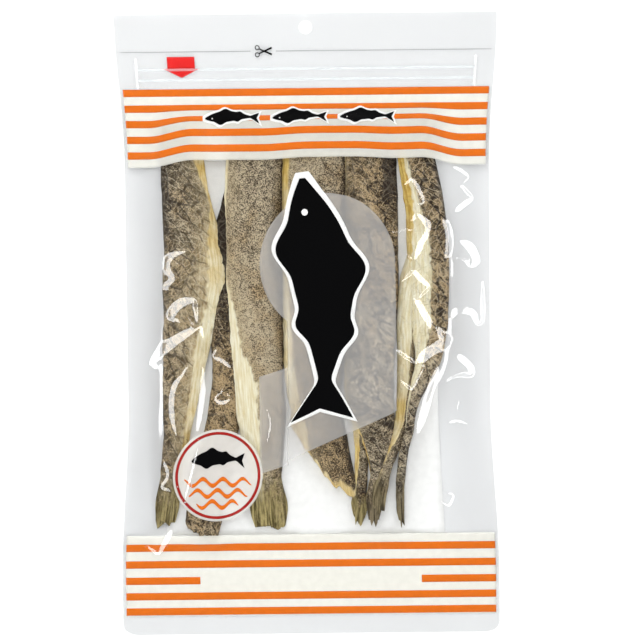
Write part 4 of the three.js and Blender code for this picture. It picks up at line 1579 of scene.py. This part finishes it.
dot_tree, given = new_tree("cut_line_dots", "Radius", "Thickness")
dot_sockets = {"Vertices": DOT_SIDES, "Radius": given["Radius"], "Depth": given["Thickness"]}
dot = dot_tree.add("GeometryNodeMeshCylinder", dot_sockets)
dots = dot_tree.add("GeometryNodeInstanceOnPoints", {"Points": lay_nodes(dot_tree, given), "Instance": dot})
finish_nodes(dot_tree, given, dots)

dot_places = np.concatenate([np.arange(start, end, DOT_PITCH) for start, end in CUT_RUNS])
cut_line = add_mesh("cut_line", [[u, CUT_LINE, 0] for u in dot_places], [])
run_tree(
    cut_line, dot_tree, Sheet=front_sheet, Rise=-DOT_DEPTH * MM, Material=inks["black_ink"],
    Radius=DOT_RADIUS * MM, Thickness=INK_THICK * MM,
)
finish_mesh(cut_line)
pieces["cut_line"] = (cut_line, "black_ink")
for sheet in (front_sheet, back_sheet):
    bpy.data.objects.remove(sheet)
print(len(dot_places), "dots")

# %% [markdown]
# ## Table and light
# The pouch lies on a plain white table. Clear film shows the light itself: whatever stands above
# it comes back as haze, and whatever stands aside comes back as bright edges on its folds. So the
# two lamps that light the fish, the ink and the table are hidden from gloss, and the sky is dark
# overhead. Low round the table it has a ring of glow, which only the steep flanks of the folds
# mirror to the camera.

# %% Table
TABLE_SIZE, TABLE_MOTTLE, TABLE_ROUGHNESS = 6.0, 40.0, 0.9
TABLE_DARK, TABLE_PALE = (0.95, 0.95, 0.95, 1), (0.97, 0.97, 0.97, 1)
table_finish, tree = new_finish("white_table")
table_mottle = tree.noise(tree.coordinate("Object"), TABLE_MOTTLE, 2.0)
table_tone = tree.mix(table_mottle, TABLE_DARK, TABLE_PALE)
matt = tree.add("ShaderNodeBsdfPrincipled", {"Base Color": table_tone, "Roughness": TABLE_ROUGHNESS})
tree.add("ShaderNodeOutputMaterial", {0: matt})
half = TABLE_SIZE / 2 / MM
corners = [(-half, -half, 0), (half, -half, 0), (half, half, 0), (-half, half, 0)]
table = add_mesh("table", corners, [[0, 1, 2, 3]])
table.data.materials.append(table_finish)
print("table:", TABLE_SIZE, "m")

# %% Two lamps
LAMPS = {
    "fill": dict(turn=90, reach=0.0, height=1.4, size=0.8, power=6.7),
    "key": dict(turn=120, reach=0.9, height=1.1, size=0.5, power=5.7),
}
for word, spec in LAMPS.items():
    data = bpy.data.lights.new(word, "AREA")
    data.size = spec["size"]
    data.energy = spec["power"]
    lamp = bpy.data.objects.new(word, data)
    bpy.context.scene.collection.objects.link(lamp)
    turn = math.radians(spec["turn"])
    lamp.location = (spec["reach"] * math.cos(turn), spec["reach"] * math.sin(turn), spec["height"])
    lamp.rotation_euler = (0, math.atan2(spec["reach"], spec["height"]), turn)
    lamp.visible_glossy = False
print("lamps:", ", ".join(LAMPS))

# %% A ring of glow
RING_LOW, RING_HIGH, RING_SOFT = 0.26, 0.49, 0.02
RING_GLOW, HORIZON_GLOW, TOP_GLOW = 4.4, 0.8, 0.02
SKY_FADE = (0.05, 0.55)
FILM_LAYERS = 32
world = bpy.data.worlds.new("studio")
world.use_nodes = True
sky = Tree(world.node_tree)
up = sky.add("ShaderNodeSeparateXYZ", {0: sky.coordinate("Generated")}).node.outputs["Z"]
ring_on = sky.span(up, RING_LOW - RING_SOFT, RING_LOW + RING_SOFT, 0.0, RING_GLOW, "LINEAR")
ring_off = sky.span(up, RING_HIGH - RING_SOFT, RING_HIGH + RING_SOFT, 1.0, 0.0, "LINEAR")
fade = sky.span(up, *SKY_FADE, HORIZON_GLOW, TOP_GLOW, "LINEAR")
glow = sky.plus(sky.times(ring_on, ring_off), fade)
world.node_tree.links.new(glow, world.node_tree.nodes["Background"].inputs["Color"])
bpy.context.scene.world = world
bpy.context.scene.view_settings.view_transform = "Standard"
bpy.context.scene.cycles.transparent_max_bounces = FILM_LAYERS
print("ring of glow from", RING_LOW, "to", RING_HIGH, "of the way up")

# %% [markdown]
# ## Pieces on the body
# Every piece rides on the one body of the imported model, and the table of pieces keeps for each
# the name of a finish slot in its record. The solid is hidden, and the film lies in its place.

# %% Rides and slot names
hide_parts("pouch")
pieces["pouch_film"] = (pouch_film, "film")
for fish_piece in fish_pieces:
    pieces[fish_piece.name] = (fish_piece, "fish_skin")
for piece, slot in pieces.values():
    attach(piece, "root")
